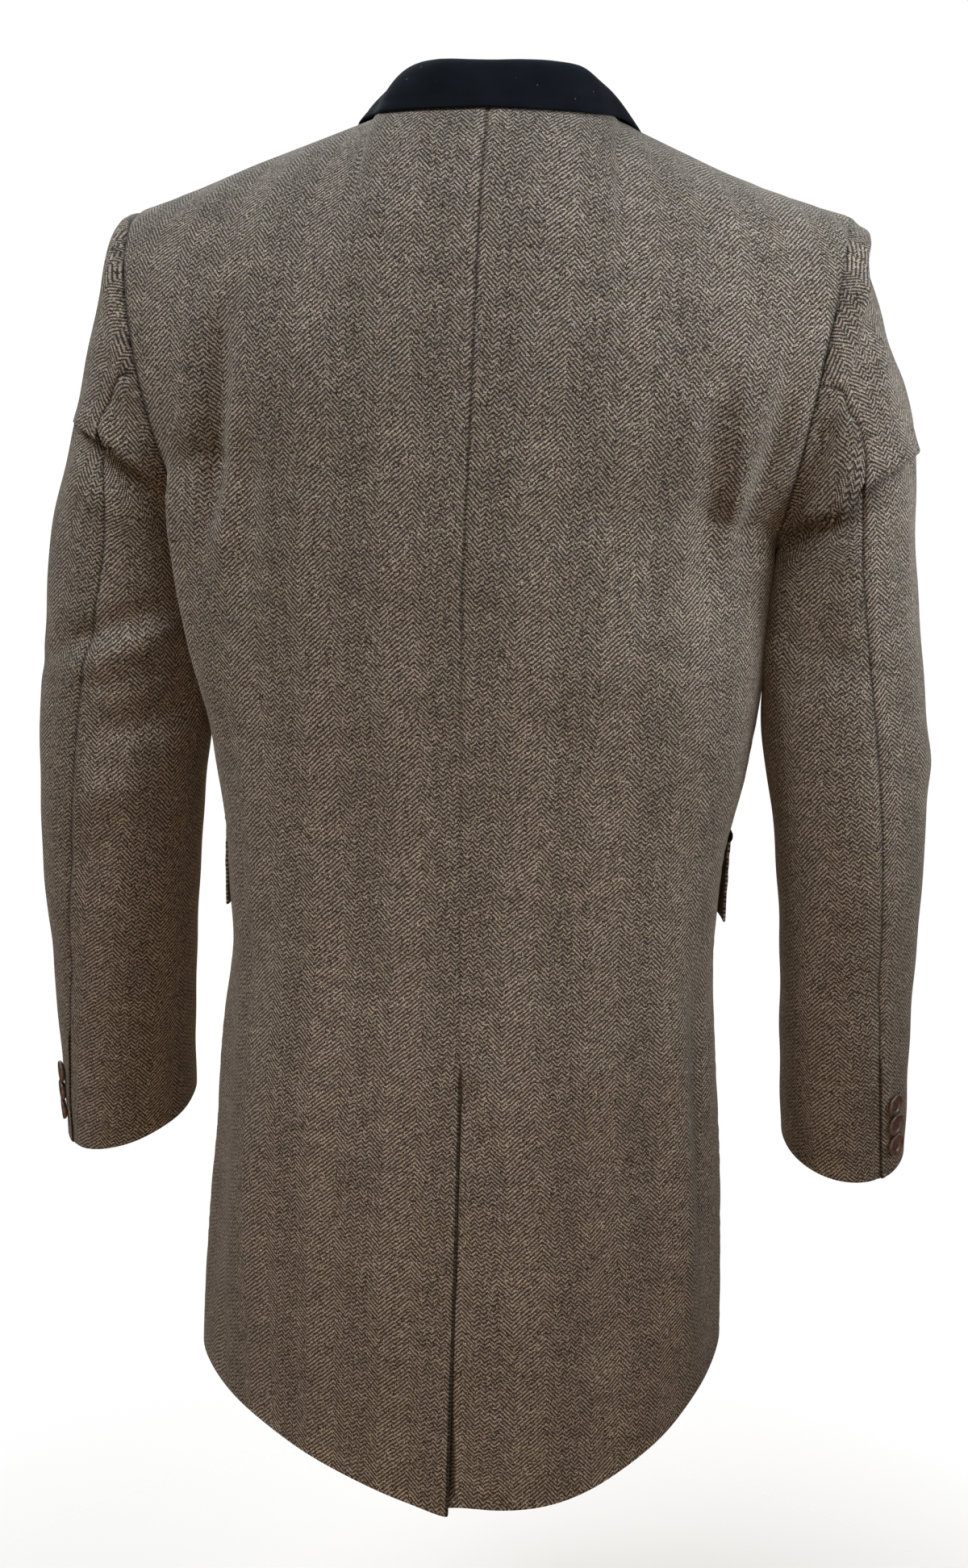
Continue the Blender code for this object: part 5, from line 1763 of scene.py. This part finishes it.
@dataclass
class Collar:
    """The stand, and the fall that rolls over it from the inside to its edge."""

    torso: Torso
    cloth: float = 0.0022
    clear: float = 0.0007
    shift: float = -0.0028
    neck_fold_x: float = 0.0615
    stand_lift: float = 0.0021
    stand_end: float = 6.8
    crown: float = 0.005
    stand_thinner: float = 0.0004
    stand_inside: Pair = (0.003, 0.0052)
    stand_bow: float = 0.0012
    half_length: float = 0.215
    steps: Pair = (0.003, 0.0022)
    inner_fold: Pair = (0.0022, 0.0012)
    unevenness: float = 0.0004
    stitch: Triple = (0.00045, 0.0062, 0.0011)
    stations: tuple[CollarStation, ...] = (
        CollarStation(0.0, 0.049, 0.038, Face.BACK, 0.0, 2.83),
        CollarStation(0.018, 0.047, 0.0385, Face.BACK, 0.085, 2.83),
        CollarStation(0.034, 0.04, 0.039, Face.BACK, 0.175, 2.835),
        CollarStation(0.0485, 0.026, 0.038, Face.BACK, 0.275, 2.85),
        CollarStation(0.0555, 0.008, 0.0335, Face.BACK, 0.375, 2.905),
        CollarStation(0.06, -0.013, 0.0265, Face.BACK, 0.455, 2.985),
        CollarStation(0.0635, -0.034, 0.0165, Face.FRONT, 0.14, 2.86),
        CollarStation(0.0655, -0.054, 0.0045, Face.FRONT, 0.215, 2.74),
        CollarStation(0.0665, -0.071, -0.01, Face.FRONT, 0.28, 2.655),
    )
    # The roll inside the fold: how far out from the fold and how far up
    inside: tuple[Pair, ...] = (
        (-0.0072, -0.012), (-0.007, -0.0065), (-0.0058, -0.0022), (-0.0032, 0.0002),
    )
    fall_shares: tuple[float, ...] = (0.14, 0.28, 0.42, 0.56, 0.7, 0.85, 1.0)

    def knots(self) -> Array:
        """The stations' numbers."""
        return np.arange(len(self.stations))

    def fold_line(self, hand: Hand, at: Array) -> Array:
        """The fold along half of the collar, on the wearer's left."""
        points = np.stack([column(self.stations, f"fold_{k}") for k in "xyz"], -1)
        return smooth(at, self.knots(), points)

    def edge_line(self, hand: Hand, at: Array) -> Array:
        """The fall's edge along half of the collar, moved out from the cloth that it lies on.

        Args:
            hand: Which half.
            at: Station numbers.

        Returns:
            A point on the wearer's left for each.
        """
        points = []
        for station in self.stations:
            place = [self.torso.line(hand, station.face, w, [u])[0] for u, w in (
                (station.u, station.w), (station.u + 0.01, station.w), (station.u, station.w + 0.01))]
            out = np.cross(place[1] - place[0], place[2] - place[0])
            out *= np.sign(out[2]) / np.linalg.norm(out)
            points.append(place[0] + out * (self.cloth + self.clear))
        return smooth(at, self.knots(), np.array(points))

    def neck_line(self, hand: Hand, at: Array) -> Array:
        """Points just above half of the neckline: the back's neck, then the front's edge.

        Args:
            hand: Which half.
            at: Station numbers.

        Returns:
            A point on the wearer's left for each.
        """
        neckline = self.torso.top_line(hand, Face.BACK)
        points = []
        for station in self.stations:
            if station.face is Face.FRONT:
                points.append(self.torso.line(hand, Face.FRONT, station.w, [0.0])[0])
            else:
                x = self.torso.neck_point[0] * station.fold_x / self.neck_fold_x
                points.append(np.array([np.interp(x, neckline[:, 0], neckline[:, k]) for k in range(3)]))
        return smooth(at, self.knots(), np.array(points) + np.array([0, 0, self.stand_lift]))

    def around(self, line: object, at: Array) -> Array:
        """Both halves of one of this collar's lines, from right to left."""
        right = mirrored(line(Hand.RIGHT, at), Hand.RIGHT)
        return np.concatenate([right[:0:-1], line(Hand.LEFT, at)])

    def build(self, finish: Material) -> None:
        """Makes the fall and the stand in velvet."""
        self.build_fall(finish)
        self.build_stand(finish)

    def frame_lines(self, at: Array) -> tuple[Array, Array, Array]:
        """The fold, the edge and the level way out along the whole collar.

        Args:
            at: Station numbers from the centre back.

        Returns:
            Points of the fold and of the edge, and a unit direction for each.
        """
        fold = self.around(self.fold_line, at) + np.array([self.shift, 0, 0])
        edge = self.around(self.edge_line, at)
        return fold, edge, unit((edge - fold) * np.array([1, 1, 0]))

    def build_fall(self, finish: Material) -> None:
        """Makes the fall.

        Args:
            finish: The velvet.
        """
        at = graded(2 * self.half_length, self.steps[0])
        at = at[at <= 0.5] * 2
        at = np.concatenate([[0.0], (1 - at[::-1])[1:]]) * (len(self.stations) - 1)
        fold, edge, out = self.frame_lines(at)
        rows = [fold + out * away + np.array([0, 0, up]) for away, up in self.inside]
        inner = fold - out * self.inner_fold[0] - np.array([0, 0, self.inner_fold[1]])
        control = fold + (edge - fold) * np.array([0.5, 0.5, 0.0]) + np.array([0, 0, self.crown])
        for t in self.fall_shares:
            rows.append(inner * (1 - t) ** 2 + control * 2 * t * (1 - t) + edge * t * t)
        rows = np.array(rows)
        run = lengths(rows, 0).mean(1)
        points = smooth(graded(run[-1], self.steps[1]) * run[-1], run, rows)
        across, along = lengths(points, 1), lengths(points, 0)
        middle = points.shape[1] // 2
        across = across - across[:, middle:middle + 1]
        normals = grid_normals(points, out)
        rest = np.minimum(along[-1:] - along, across.max() - abs(across))
        lift = self.unevenness * ripple(across, along, 5, 0.03, 0.09) * ease(rest, 0, 0.01)
        depth, inset, width = self.stitch
        lift -= depth * bell(along[-1:] - along - inset, width)
        points = points + normals * lift[..., None]
        normals = grid_normals(points, out)
        weave = np.stack([across, along], -1)
        sheet = Sheet("collar_fall", Slot.VELVET, points, normals, self.cloth, weave)
        sheet.build(finish, "folded", "collar_stand_velvet")

    def build_stand(self, finish: Material) -> None:
        """Makes the stand.

        Args:
            finish: The velvet.
        """
        at = np.linspace(0, self.stand_end, 60)
        fold, _, out = self.frame_lines(at)
        top = fold - out * self.stand_inside[0] - np.array([0, 0, self.stand_inside[1]])
        base = self.around(self.neck_line, at)
        bow = out * self.stand_bow
        shares = np.linspace(0, 1, 14)
        points = np.array([base + (top - base) * t - bow * 4 * t * (1 - t) for t in shares])
        normals = unit(np.cross(np.gradient(points, axis=1), np.gradient(points, axis=0)))
        normals *= np.sign((normals * (out + np.array([0, 0, 1]))).sum(-1, keepdims=True))
        weave = np.stack([lengths(points, 1), lengths(points, 0)], -1)
        sheet = Sheet("collar_stand", Slot.VELVET, points, normals, self.cloth - self.stand_thinner, weave)
        sheet.build(finish, "folded", "back_left_cloth", "back_right_cloth")


# Lapels and pockets


@dataclass
class Lapels:
    """Lapels turned back over the fronts along the roll line."""

    panels: dict
    cloth: float = 0.002
    layer: float = 0.001
    crown: float = 0.0014
    tops: Pair = (2.646, 2.59)
    roll_turns: int = 6
    roll_angle: float = 150.0
    spans: Pair = (0.34, 0.088)
    step: float = 0.0036
    stitch: Triple = (0.0003, 0.006, 0.0012)
    weave_start: float = 0.02
    # A level and the lapel's width over the chest there
    rows: tuple[Pair, ...] = (
        (0.945, 0.006), (1.15, 0.026), (1.5, 0.05),
        (1.9, 0.07), (2.3, 0.083), (2.65, 0.088),
    )

    def build(self, finish: Material) -> None:
        """Makes both lapels in tweed."""
        for hand in Hand:
            self.build_lapel(hand, finish)

    def build_lapel(self, hand: Hand, finish: Material) -> None:
        """Makes one lapel, with a soft roll round the front's edge.

        Args:
            hand: Which side.
            finish: The tweed.
        """
        panel = self.panels[hand, Face.FRONT]
        rise, across = (graded(span, self.step) for span in self.spans)
        rise, across = rise[:, None], across[None, :]
        low, (gorge, point) = self.rows[0][0], self.tops
        w_edge = low + (gorge - low) * rise
        width = smooth(w_edge, *zip(*self.rows))
        u = across * width / panel.width_at(w_edge)
        w = low + (gorge + (point - gorge) * across - low) * rise
        points, normals, weave = panel.at(u, w)
        lift = self.cloth + self.layer + self.crown * np.sin(across * pi * 0.9) + 0 * rise
        edge, out = points[:, 0], normals[:, 0]
        away = unit(points[:, 0] - points[:, 3])
        points = points + normals * lift[..., None]
        radius = (lift[:, 0] + self.cloth + self.layer)[:, None] / 2
        heart = edge + out * (lift[:, 0][:, None] - radius)
        roll = []
        for turn in range(self.roll_turns, 0, -1):
            angle = radians(self.roll_angle) * turn / self.roll_turns
            roll.append(heart + out * radius * cos(angle) + away * radius * sin(angle))
        points = np.concatenate([np.stack(roll, 1), points], 1)
        extra = lengths(points, 1)
        weave = np.stack([hand.value * extra + self.weave_start, lengths(points, 0)], -1)
        normals = grid_normals(points, np.array([0.0, -1.0, 0.0]))
        rims = np.minimum(extra[:, -1:] - extra, lengths(points, 0)[-1:] - lengths(points, 0))
        depth, inset, width = self.stitch
        points = points - normals * (depth * bell(rims - inset, width))[..., None]
        sheet = Sheet(f"lapel_{hand.word}", Slot.TWEED, points, normals, self.cloth, weave)
        sheet.build(finish, "folded", f"front_{hand.word}_cloth")


@dataclass
class Pockets:
    """A hip flap on each front, with a narrow dark jet above it."""

    torso: Torso
    panels: dict
    cloth: float = 0.002
    layer: float = 0.0011
    tops: dict = by_hand(-0.476, -0.485)
    rear: float = 0.985
    length: float = 0.158
    drop: float = 0.06
    stand_off: float = 0.004
    jet: float = 0.006
    jet_round: float = 0.0007
    jet_gap: float = 0.0004
    step: float = 0.0034
    front_stands: float = 0.35

    def build(self, tweed: Material, velvet: Material) -> None:
        """Makes the flaps and the jets.

        Args:
            tweed: The flaps' finish.
            velvet: The jets' finish.
        """
        for hand in Hand:
            self.build_flap(hand, tweed)
            self.build_jet(hand, velvet)

    def across(self, hand: Hand) -> Array:
        """Shares of the front that a pocket runs across."""
        panel = self.panels[hand, Face.FRONT]
        level = self.torso.level_at(Face.FRONT, self.tops[hand])
        share = self.length / float(panel.width_at(level))
        return self.rear - share * (1 - graded(self.length, self.step))

    def build_flap(self, hand: Hand, finish: Material) -> None:
        """Makes one flap, which stands off the front towards its lower rear corner.

        Args:
            hand: Which side.
            finish: The tweed.
        """
        u = self.across(hand)[None, :]
        down = graded(self.drop, self.step)[::-1][:, None]
        w = self.torso.level_at(Face.FRONT, self.tops[hand] - self.drop * down)
        points, normals, weave = self.panels[hand, Face.FRONT].at(u + 0 * w, w + 0 * u)
        share = (u - u.min()) / (u.max() - u.min())
        off = self.front_stands + (1 - self.front_stands) * share**2
        lift = self.cloth + self.layer + self.stand_off * np.sin(down * pi / 2) * off
        points = points + normals * lift[..., None]
        normals = grid_normals(points, normals)
        sheet = Sheet(f"pocket_flap_{hand.word}", Slot.TWEED, points, normals, self.cloth, weave)
        sheet.build(finish, "hung", f"front_{hand.word}_cloth")

    def build_jet(self, hand: Hand, finish: Material) -> None:
        """Makes one jet, a narrow rounded strip.

        Args:
            hand: Which side.
            finish: The velvet.
        """
        u = self.across(hand)[None, :]
        up = np.linspace(0, 1, 9)[:, None]
        w = self.torso.level_at(Face.FRONT, self.tops[hand] + self.jet_gap + self.jet * up)
        points, normals, weave = self.panels[hand, Face.FRONT].at(u + 0 * w, w + 0 * u)
        lift = self.cloth + self.layer + self.jet_round * np.sin(up * pi) + 0 * u
        points = points + normals * lift[..., None]
        normals = grid_normals(points, normals)
        sheet = Sheet(f"pocket_jet_{hand.word}", Slot.VELVET, points, normals, self.cloth, weave)
        sheet.build(finish, "laid", f"front_{hand.word}_cloth")


# Buttons


@dataclass(frozen=True)
class ButtonSize:
    """A button's radius and height, and its holes."""

    radius: float
    height: float
    hole: float
    hole_ring: float


@dataclass
class Buttons:
    """Turned four-hole buttons with a raised rim, three down the front and three on each cuff."""

    panels: dict
    sleeve_grids: dict
    front: ButtonSize = ButtonSize(0.0135, 0.0042, 0.00105, 0.0029)
    cuff: ButtonSize = ButtonSize(0.0079, 0.0034, 0.0008, 0.0019)
    seat: float = 0.0003
    segments: int = 56
    thread: float = 0.0003
    thread_points: int = 17
    thread_apart: float = 1.5
    thread_rise: Triple = (0.3, 0.37, 0.35)
    thread_sinks: float = 0.00012
    sharp: float = 50.0

    def profile(self, size: ButtonSize) -> Array:
        """A button's half outline, from the middle of its back to the middle of its face."""
        share = np.array([
            (0.0, 0.0), (0.6, 0.0), (0.8, 0.1), (0.94, 0.32), (0.995, 0.58), (1.0, 0.7), (0.985, 0.86),
            (0.93, 0.98), (0.86, 1.0), (0.78, 0.95), (0.7, 0.8), (0.64, 0.67), (0.57, 0.61), (0.0, 0.56),
        ])
        run = np.linspace(0, len(share) - 1, 3 * len(share) - 2)
        fine = smooth(run, np.arange(len(share)), share)
        return np.clip(fine, 0, None) * np.array([size.radius, size.height])

    def turned(self, size: ButtonSize) -> Mesh:
        """Turns one button and drills its four holes.

        Args:
            size: Its sizes.

        Returns:
            A mesh with the button's back at the origin and its face up.
        """
        body = bmesh.new()
        verts = [body.verts.new((x, 0.0, z)) for x, z in self.profile(size)]
        for first, second in zip(verts, verts[1:]):
            body.edges.new((first, second))
        bmesh.ops.spin(body, geom=body.verts[:] + body.edges[:], cent=(0, 0, 0), axis=(0, 0, 1),
                       angle=2 * pi, steps=self.segments)
        bmesh.ops.remove_doubles(body, verts=body.verts, dist=0.00001)
        bmesh.ops.recalc_face_normals(body, faces=body.faces)
        drill = bmesh.new()
        for x, y in self.hole_places(size):
            place = Matrix.Translation((x, y, size.height / 2))
            bmesh.ops.create_cone(drill, cap_ends=True, segments=14, radius1=size.hole, radius2=size.hole,
                                  depth=size.height * 2, matrix=place)
        solids = []
        for label, made in (("button_blank", body), ("button_drill", drill)):
            mesh = bpy.data.meshes.new(label)
            made.to_mesh(mesh)
            made.free()
            solid = bpy.data.objects.new(label, mesh)
            bpy.context.scene.collection.objects.link(solid)
            solids.append(solid)
        cut = solids[0].modifiers.new("holes", "BOOLEAN")
        cut.object, cut.operation, cut.solver = solids[1], "DIFFERENCE", "EXACT"
        ready = solids[0].evaluated_get(bpy.context.evaluated_depsgraph_get())
        drilled = bpy.data.meshes.new_from_object(ready)
        for solid in solids:
            bpy.data.objects.remove(solid)
        drilled.shade_smooth()
        drilled.set_sharp_from_angle(angle=radians(self.sharp))
        return drilled

    def hole_places(self, size: ButtonSize) -> list[Pair]:
        """The middles of the four holes."""
        return [(size.hole_ring * a, size.hole_ring * b) for a, b in ((1, 1), (-1, 1), (-1, -1), (1, -1))]

    def build(self, horn: Material, thread: Material) -> None:
        """Makes the buttons and the thread in their holes.

        Args:
            horn: The buttons' finish.
            thread: The thread's finish.
        """
        panel = self.panels[Hand.LEFT, Face.FRONT]
        groups = [("front_button", self.front, panel.points, panel.normals)]
        for hand in Hand:
            points, normals = self.sleeve_grids[hand, SleevePiece.TOP]
            groups.append((f"cuff_button_{hand.word}", self.cuff, points, normals))
        for label, size, points, normals in groups:
            mesh = self.turned(size)
            for number in (1, 2, 3):
                self.set_button(f"{label}_{number}", mesh.copy(), size, points, normals, (horn, thread))

    def set_button(
        self, node: str, mesh: Mesh, size: ButtonSize, points: Array, normals: Array,
        finishes: tuple[Material, Material],
    ) -> None:
        """Sets one button where its solid is, facing as the cloth under it does.

        Args:
            node: The solid's name.
            mesh: The turned button.
            size: Its sizes.
            points: Points of the cloth under it.
            normals: The cloth's normals.
            finishes: The horn and the thread.
        """
        low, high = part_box(node)
        heart = np.array((low + high) / 2)
        gaps = np.linalg.norm(points - heart, axis=-1)
        near = np.unravel_index(int(gaps.argmin()), gaps.shape)
        up = Vector(normals[near]).normalized()
        side = Vector((0.0, 0.0, 1.0)).cross(up).normalized()
        other = up.cross(side)
        turn = Matrix((side, other, up)).transposed().to_4x4()
        off = Vector(heart - points[near]).dot(up)
        turn.translation = Vector(heart) - up * (off - self.seat)
        mesh.transform(turn)
        horn, thread = finishes
        button = add_object(f"{node}_horn", mesh, horn)
        stand_for(button, Slot.HORN, node)
        stitches = add_object(f"{node}_thread", self.stitches(f"{node}_thread", size, turn), thread)
        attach(stitches, BODY)

    def stitches(self, name: str, size: ButtonSize, turn: Matrix) -> Mesh:
        """Two bars of thread over the face, each of three strands down into its two holes.

        Args:
            name: The mesh's name.
            size: The button's sizes.
            turn: Where the button is.

        Returns:
            The thread.
        """
        holes = self.hole_places(size)
        points, faces, weave = [], [], []
        start = 0
        for first, second in ((0, 1), (3, 2)):
            for strand in (-1, 0, 1):
                t = np.linspace(0, 1, self.thread_points)
                x = holes[first][0] + (holes[second][0] - holes[first][0]) * t
                y = holes[first][1] + strand * self.thread * self.thread_apart * np.sin(pi * t)
                low, high, power = self.thread_rise
                rise = size.height * (low + high * np.sin(pi * t) ** power) - self.thread_sinks * abs(strand)
                line = np.stack([x, y, rise], -1)
                tube, squares, lay = tube_grid(line, self.thread, 8)
                points.append(tube)
                faces.append(squares + start)
                weave.append(lay)
                start += len(tube)
        mesh = new_mesh(name, np.concatenate(points), np.concatenate(faces))
        set_weave(mesh, np.concatenate(weave))
        mesh.transform(turn)
        return mesh


def tube_grid(line: Array, radius: float, sides: int) -> tuple[Array, Array, Array]:
    """A round closed tube along a line.

    Args:
        line: The line's points.
        radius: The tube's radius.
        sides: Its sides.

    Returns:
        Points, four-sided faces, and measures round and along.
    """
    along = unit(np.gradient(line, axis=0))
    side = unit(np.cross(along, np.array([0.0, 1.0, 0.0])))
    other = np.cross(along, side)
    radii = np.full(len(line), radius)
    radii[[0, -1]] = radius * 0.05
    angles = np.arange(sides) * 2 * pi / sides
    ring = side[:, None] * np.cos(angles)[None, :, None] + other[:, None] * np.sin(angles)[None, :, None]
    points = (line[:, None] + ring * radii[:, None, None]).reshape(-1, 3)
    number = np.arange(len(line) * sides).reshape(len(line), sides)
    faces = squares(number, np.roll(number, -1, axis=1))
    caps = [number[end, k] for end in (0, -1) for k in ([0, 1, 2, 3], [0, 3, 4, 7], [4, 5, 6, 7])]
    faces = np.concatenate([faces, np.array(caps)[:3, ::-1], np.array(caps)[3:]])
    lay = np.stack(np.broadcast_arrays(angles[None, :] / (2 * pi), lengths(line, 0)[:, None]), -1)
    return points, faces, lay.reshape(-1, 2)


# Studio


@dataclass
class Lamp:
    """A soft square light: its place, size, strength and tone, what it is aimed at and its spread."""

    name: str
    place: Triple
    size: float
    watts: float
    tone: Triple = (0.91, 0.97, 1.0)
    aim: Triple = (0.0, 0.0, -0.42)
    spread: float = 180.0


@dataclass
class Studio:
    """A pale floor, a white backdrop, soft lights and the camera."""

    camera_place: Triple = (-0.12027, 1.37475, -0.167)
    azimuth: float = 185.0
    pitch: float = 11.0
    roll: float = 1.2
    focal_pixels: float = 2500.0
    frame_height: float = 1943.0
    sensor: float = 36.0
    floor_z: float = -1.25
    floor_radius: float = 30.0
    warm: ClassVar[Triple] = (1.0, 0.66, 0.38)
    lamps: tuple[Lamp, ...] = (
        Lamp("key_light", (1.5, 1.9, 2.3), 1.2, 15.0),
        Lamp("left_light", (1.05, 0.75, 1.0), 0.7, 4.6, aim=(0.2, 0.05, -0.12), spread=60.0),
        Lamp("right_light", (-1.2, 0.8, 0.9), 0.7, 1.5, aim=(-0.18, 0.0, -0.05), spread=60.0),
        Lamp("top_light", (0.0, 0.9, 1.3), 0.9, 5.6),
        Lamp("rim_light", (-1.0, 0.33, 0.05), 0.4, 3.2, aim=(-0.32, 0.0, -0.12), spread=80.0),
        Lamp("low_light", (0.0, 1.7, -0.95), 1.2, 4.6, warm, (0.0, 0.0, -0.74), 76.0),
        Lamp("low_left_light", (1.4, 1.3, -0.9), 1.0, 0.3, warm, (0.1, 0.0, -0.72), 80.0),
        Lamp("low_right_light", (-1.4, 1.3, -0.9), 1.0, 0.2, warm, (-0.1, 0.0, -0.72), 80.0),
        Lamp("front_light", (0.8, -2.0, 1.4), 1.8, 60.0),
        Lamp("front_low_light", (-0.6, -2.0, -0.4), 1.4, 18.0, warm),
    )
    sky: tuple = (
        (0.0, (0.05, 0.04, 0.03)),
        (0.5, (0.07, 0.065, 0.06)),
        (1.0, (0.13, 0.132, 0.136)),
    )

    def build(self, floor: Material) -> None:
        """Sets the stage.

        Args:
            floor: The floor's finish.
        """
        self.build_floor(floor)
        self.build_sky()
        for lamp in self.lamps:
            self.build_lamp(lamp)
        self.build_camera()

    def build_floor(self, finish: Material) -> None:
        """Lays the floor as a wide disc of rings."""
        angles = np.linspace(0, 2 * pi, 65)[:-1]
        rings = np.array([0.05, 0.5, 1.0, 2.0, 4.0, 8.0, 16.0, self.floor_radius])
        x, y = np.outer(rings, np.cos(angles)), np.outer(rings, np.sin(angles))
        points = np.stack([x, y, 0 * x], -1).reshape(-1, 3)
        number = np.arange(len(points)).reshape(len(rings), -1)
        ahead = np.roll(number, -1, axis=1)
        faces = np.stack([number[:-1], number[1:], ahead[1:], ahead[:-1]], -1).reshape(-1, 4)
        mesh = bpy.data.meshes.new("floor")
        mesh.from_pydata(points.tolist(), [], faces.tolist() + [number[0].tolist()])
        floor = add_object("floor", mesh, finish)
        floor.location.z = self.floor_z

    def build_sky(self) -> None:
        """Lights the stage from all round, most from above, in front of a white backdrop."""
        world = bpy.data.worlds.new("backdrop")
        bpy.context.scene.world = world
        g = Graph(world)
        place = g.node("ShaderNodeTexCoord", {}).outputs["Generated"]
        height = g.node("ShaderNodeSeparateXYZ", {0: place}).outputs[2]
        share = g.node("ShaderNodeMapRange", {0: height, "From Min": -1.0}).outputs[0]
        glow = g.tree.nodes["Background"]
        g.put(glow.inputs["Color"], g.ramp(share, self.sky))
        white = g.node("ShaderNodeBackground", {"Color": (1.0, 1.0, 1.0, 1.0)}).outputs[0]
        seen = g.node("ShaderNodeLightPath", {}).outputs["Is Camera Ray"]
        either = g.node("ShaderNodeMixShader", {0: seen, 1: glow.outputs[0], 2: white}).outputs[0]
        g.put(g.tree.nodes["World Output"].inputs["Surface"], either)

    def build_lamp(self, lamp: Lamp) -> None:
        """Hangs one light, turned to the coat.

        Args:
            lamp: Its place, size and strength.
        """
        data = bpy.data.lights.new(lamp.name, "AREA")
        data.size, data.energy, data.color = lamp.size, lamp.watts, lamp.tone
        data.spread = radians(lamp.spread)
        light = bpy.data.objects.new(lamp.name, data)
        light.location = lamp.place
        way = Vector(lamp.aim) - Vector(lamp.place)
        light.rotation_mode = "QUATERNION"
        light.rotation_quaternion = way.to_track_quat("-Z", "Y")
        bpy.context.scene.collection.objects.link(light)

    def build_camera(self) -> None:
        """Puts the camera where the picture was taken from."""
        azimuth, pitch, roll = radians(self.azimuth), radians(self.pitch), radians(self.roll)
        ahead = Vector((-sin(azimuth) * cos(pitch), cos(azimuth) * cos(pitch), -sin(pitch)))
        right = ahead.cross(Vector((0.0, 0.0, 1.0))).normalized()
        up = right.cross(ahead)
        side = right * cos(roll) + up * sin(roll)
        top = up * cos(roll) - right * sin(roll)
        data = bpy.data.cameras.new("camera")
        data.sensor_width = self.sensor
        data.lens = self.focal_pixels / self.frame_height * self.sensor
        camera = bpy.data.objects.new("camera", data)
        turn = Matrix((side, top, -ahead)).transposed().to_4x4()
        turn.translation = Vector(self.camera_place)
        camera.matrix_world = turn
        bpy.context.scene.collection.objects.link(camera)
        bpy.context.scene.camera = camera
        bpy.context.scene.view_settings.view_transform = "Standard"


def main() -> None:
    """Builds the coat piece by piece, then its studio."""
    logging.basicConfig(level=logging.INFO, format="%(message)s")
    tweed, velvet = TweedFinish().material(), VelvetFinish().material()
    torso = Torso()
    bodies = BodyPanels(torso)
    bodies.build(tweed)
    sleeves = Sleeves(torso)
    sleeves.build(tweed)
    Collar(torso).build(velvet)
    Lapels(bodies.panels).build(tweed)
    Pockets(torso, bodies.panels).build(tweed, velvet)
    Buttons(bodies.panels, sleeves.grids).build(HornFinish().material(), ThreadFinish().material())
    Studio().build(FloorFinish().material())


if __name__ == "__main__":
    main()
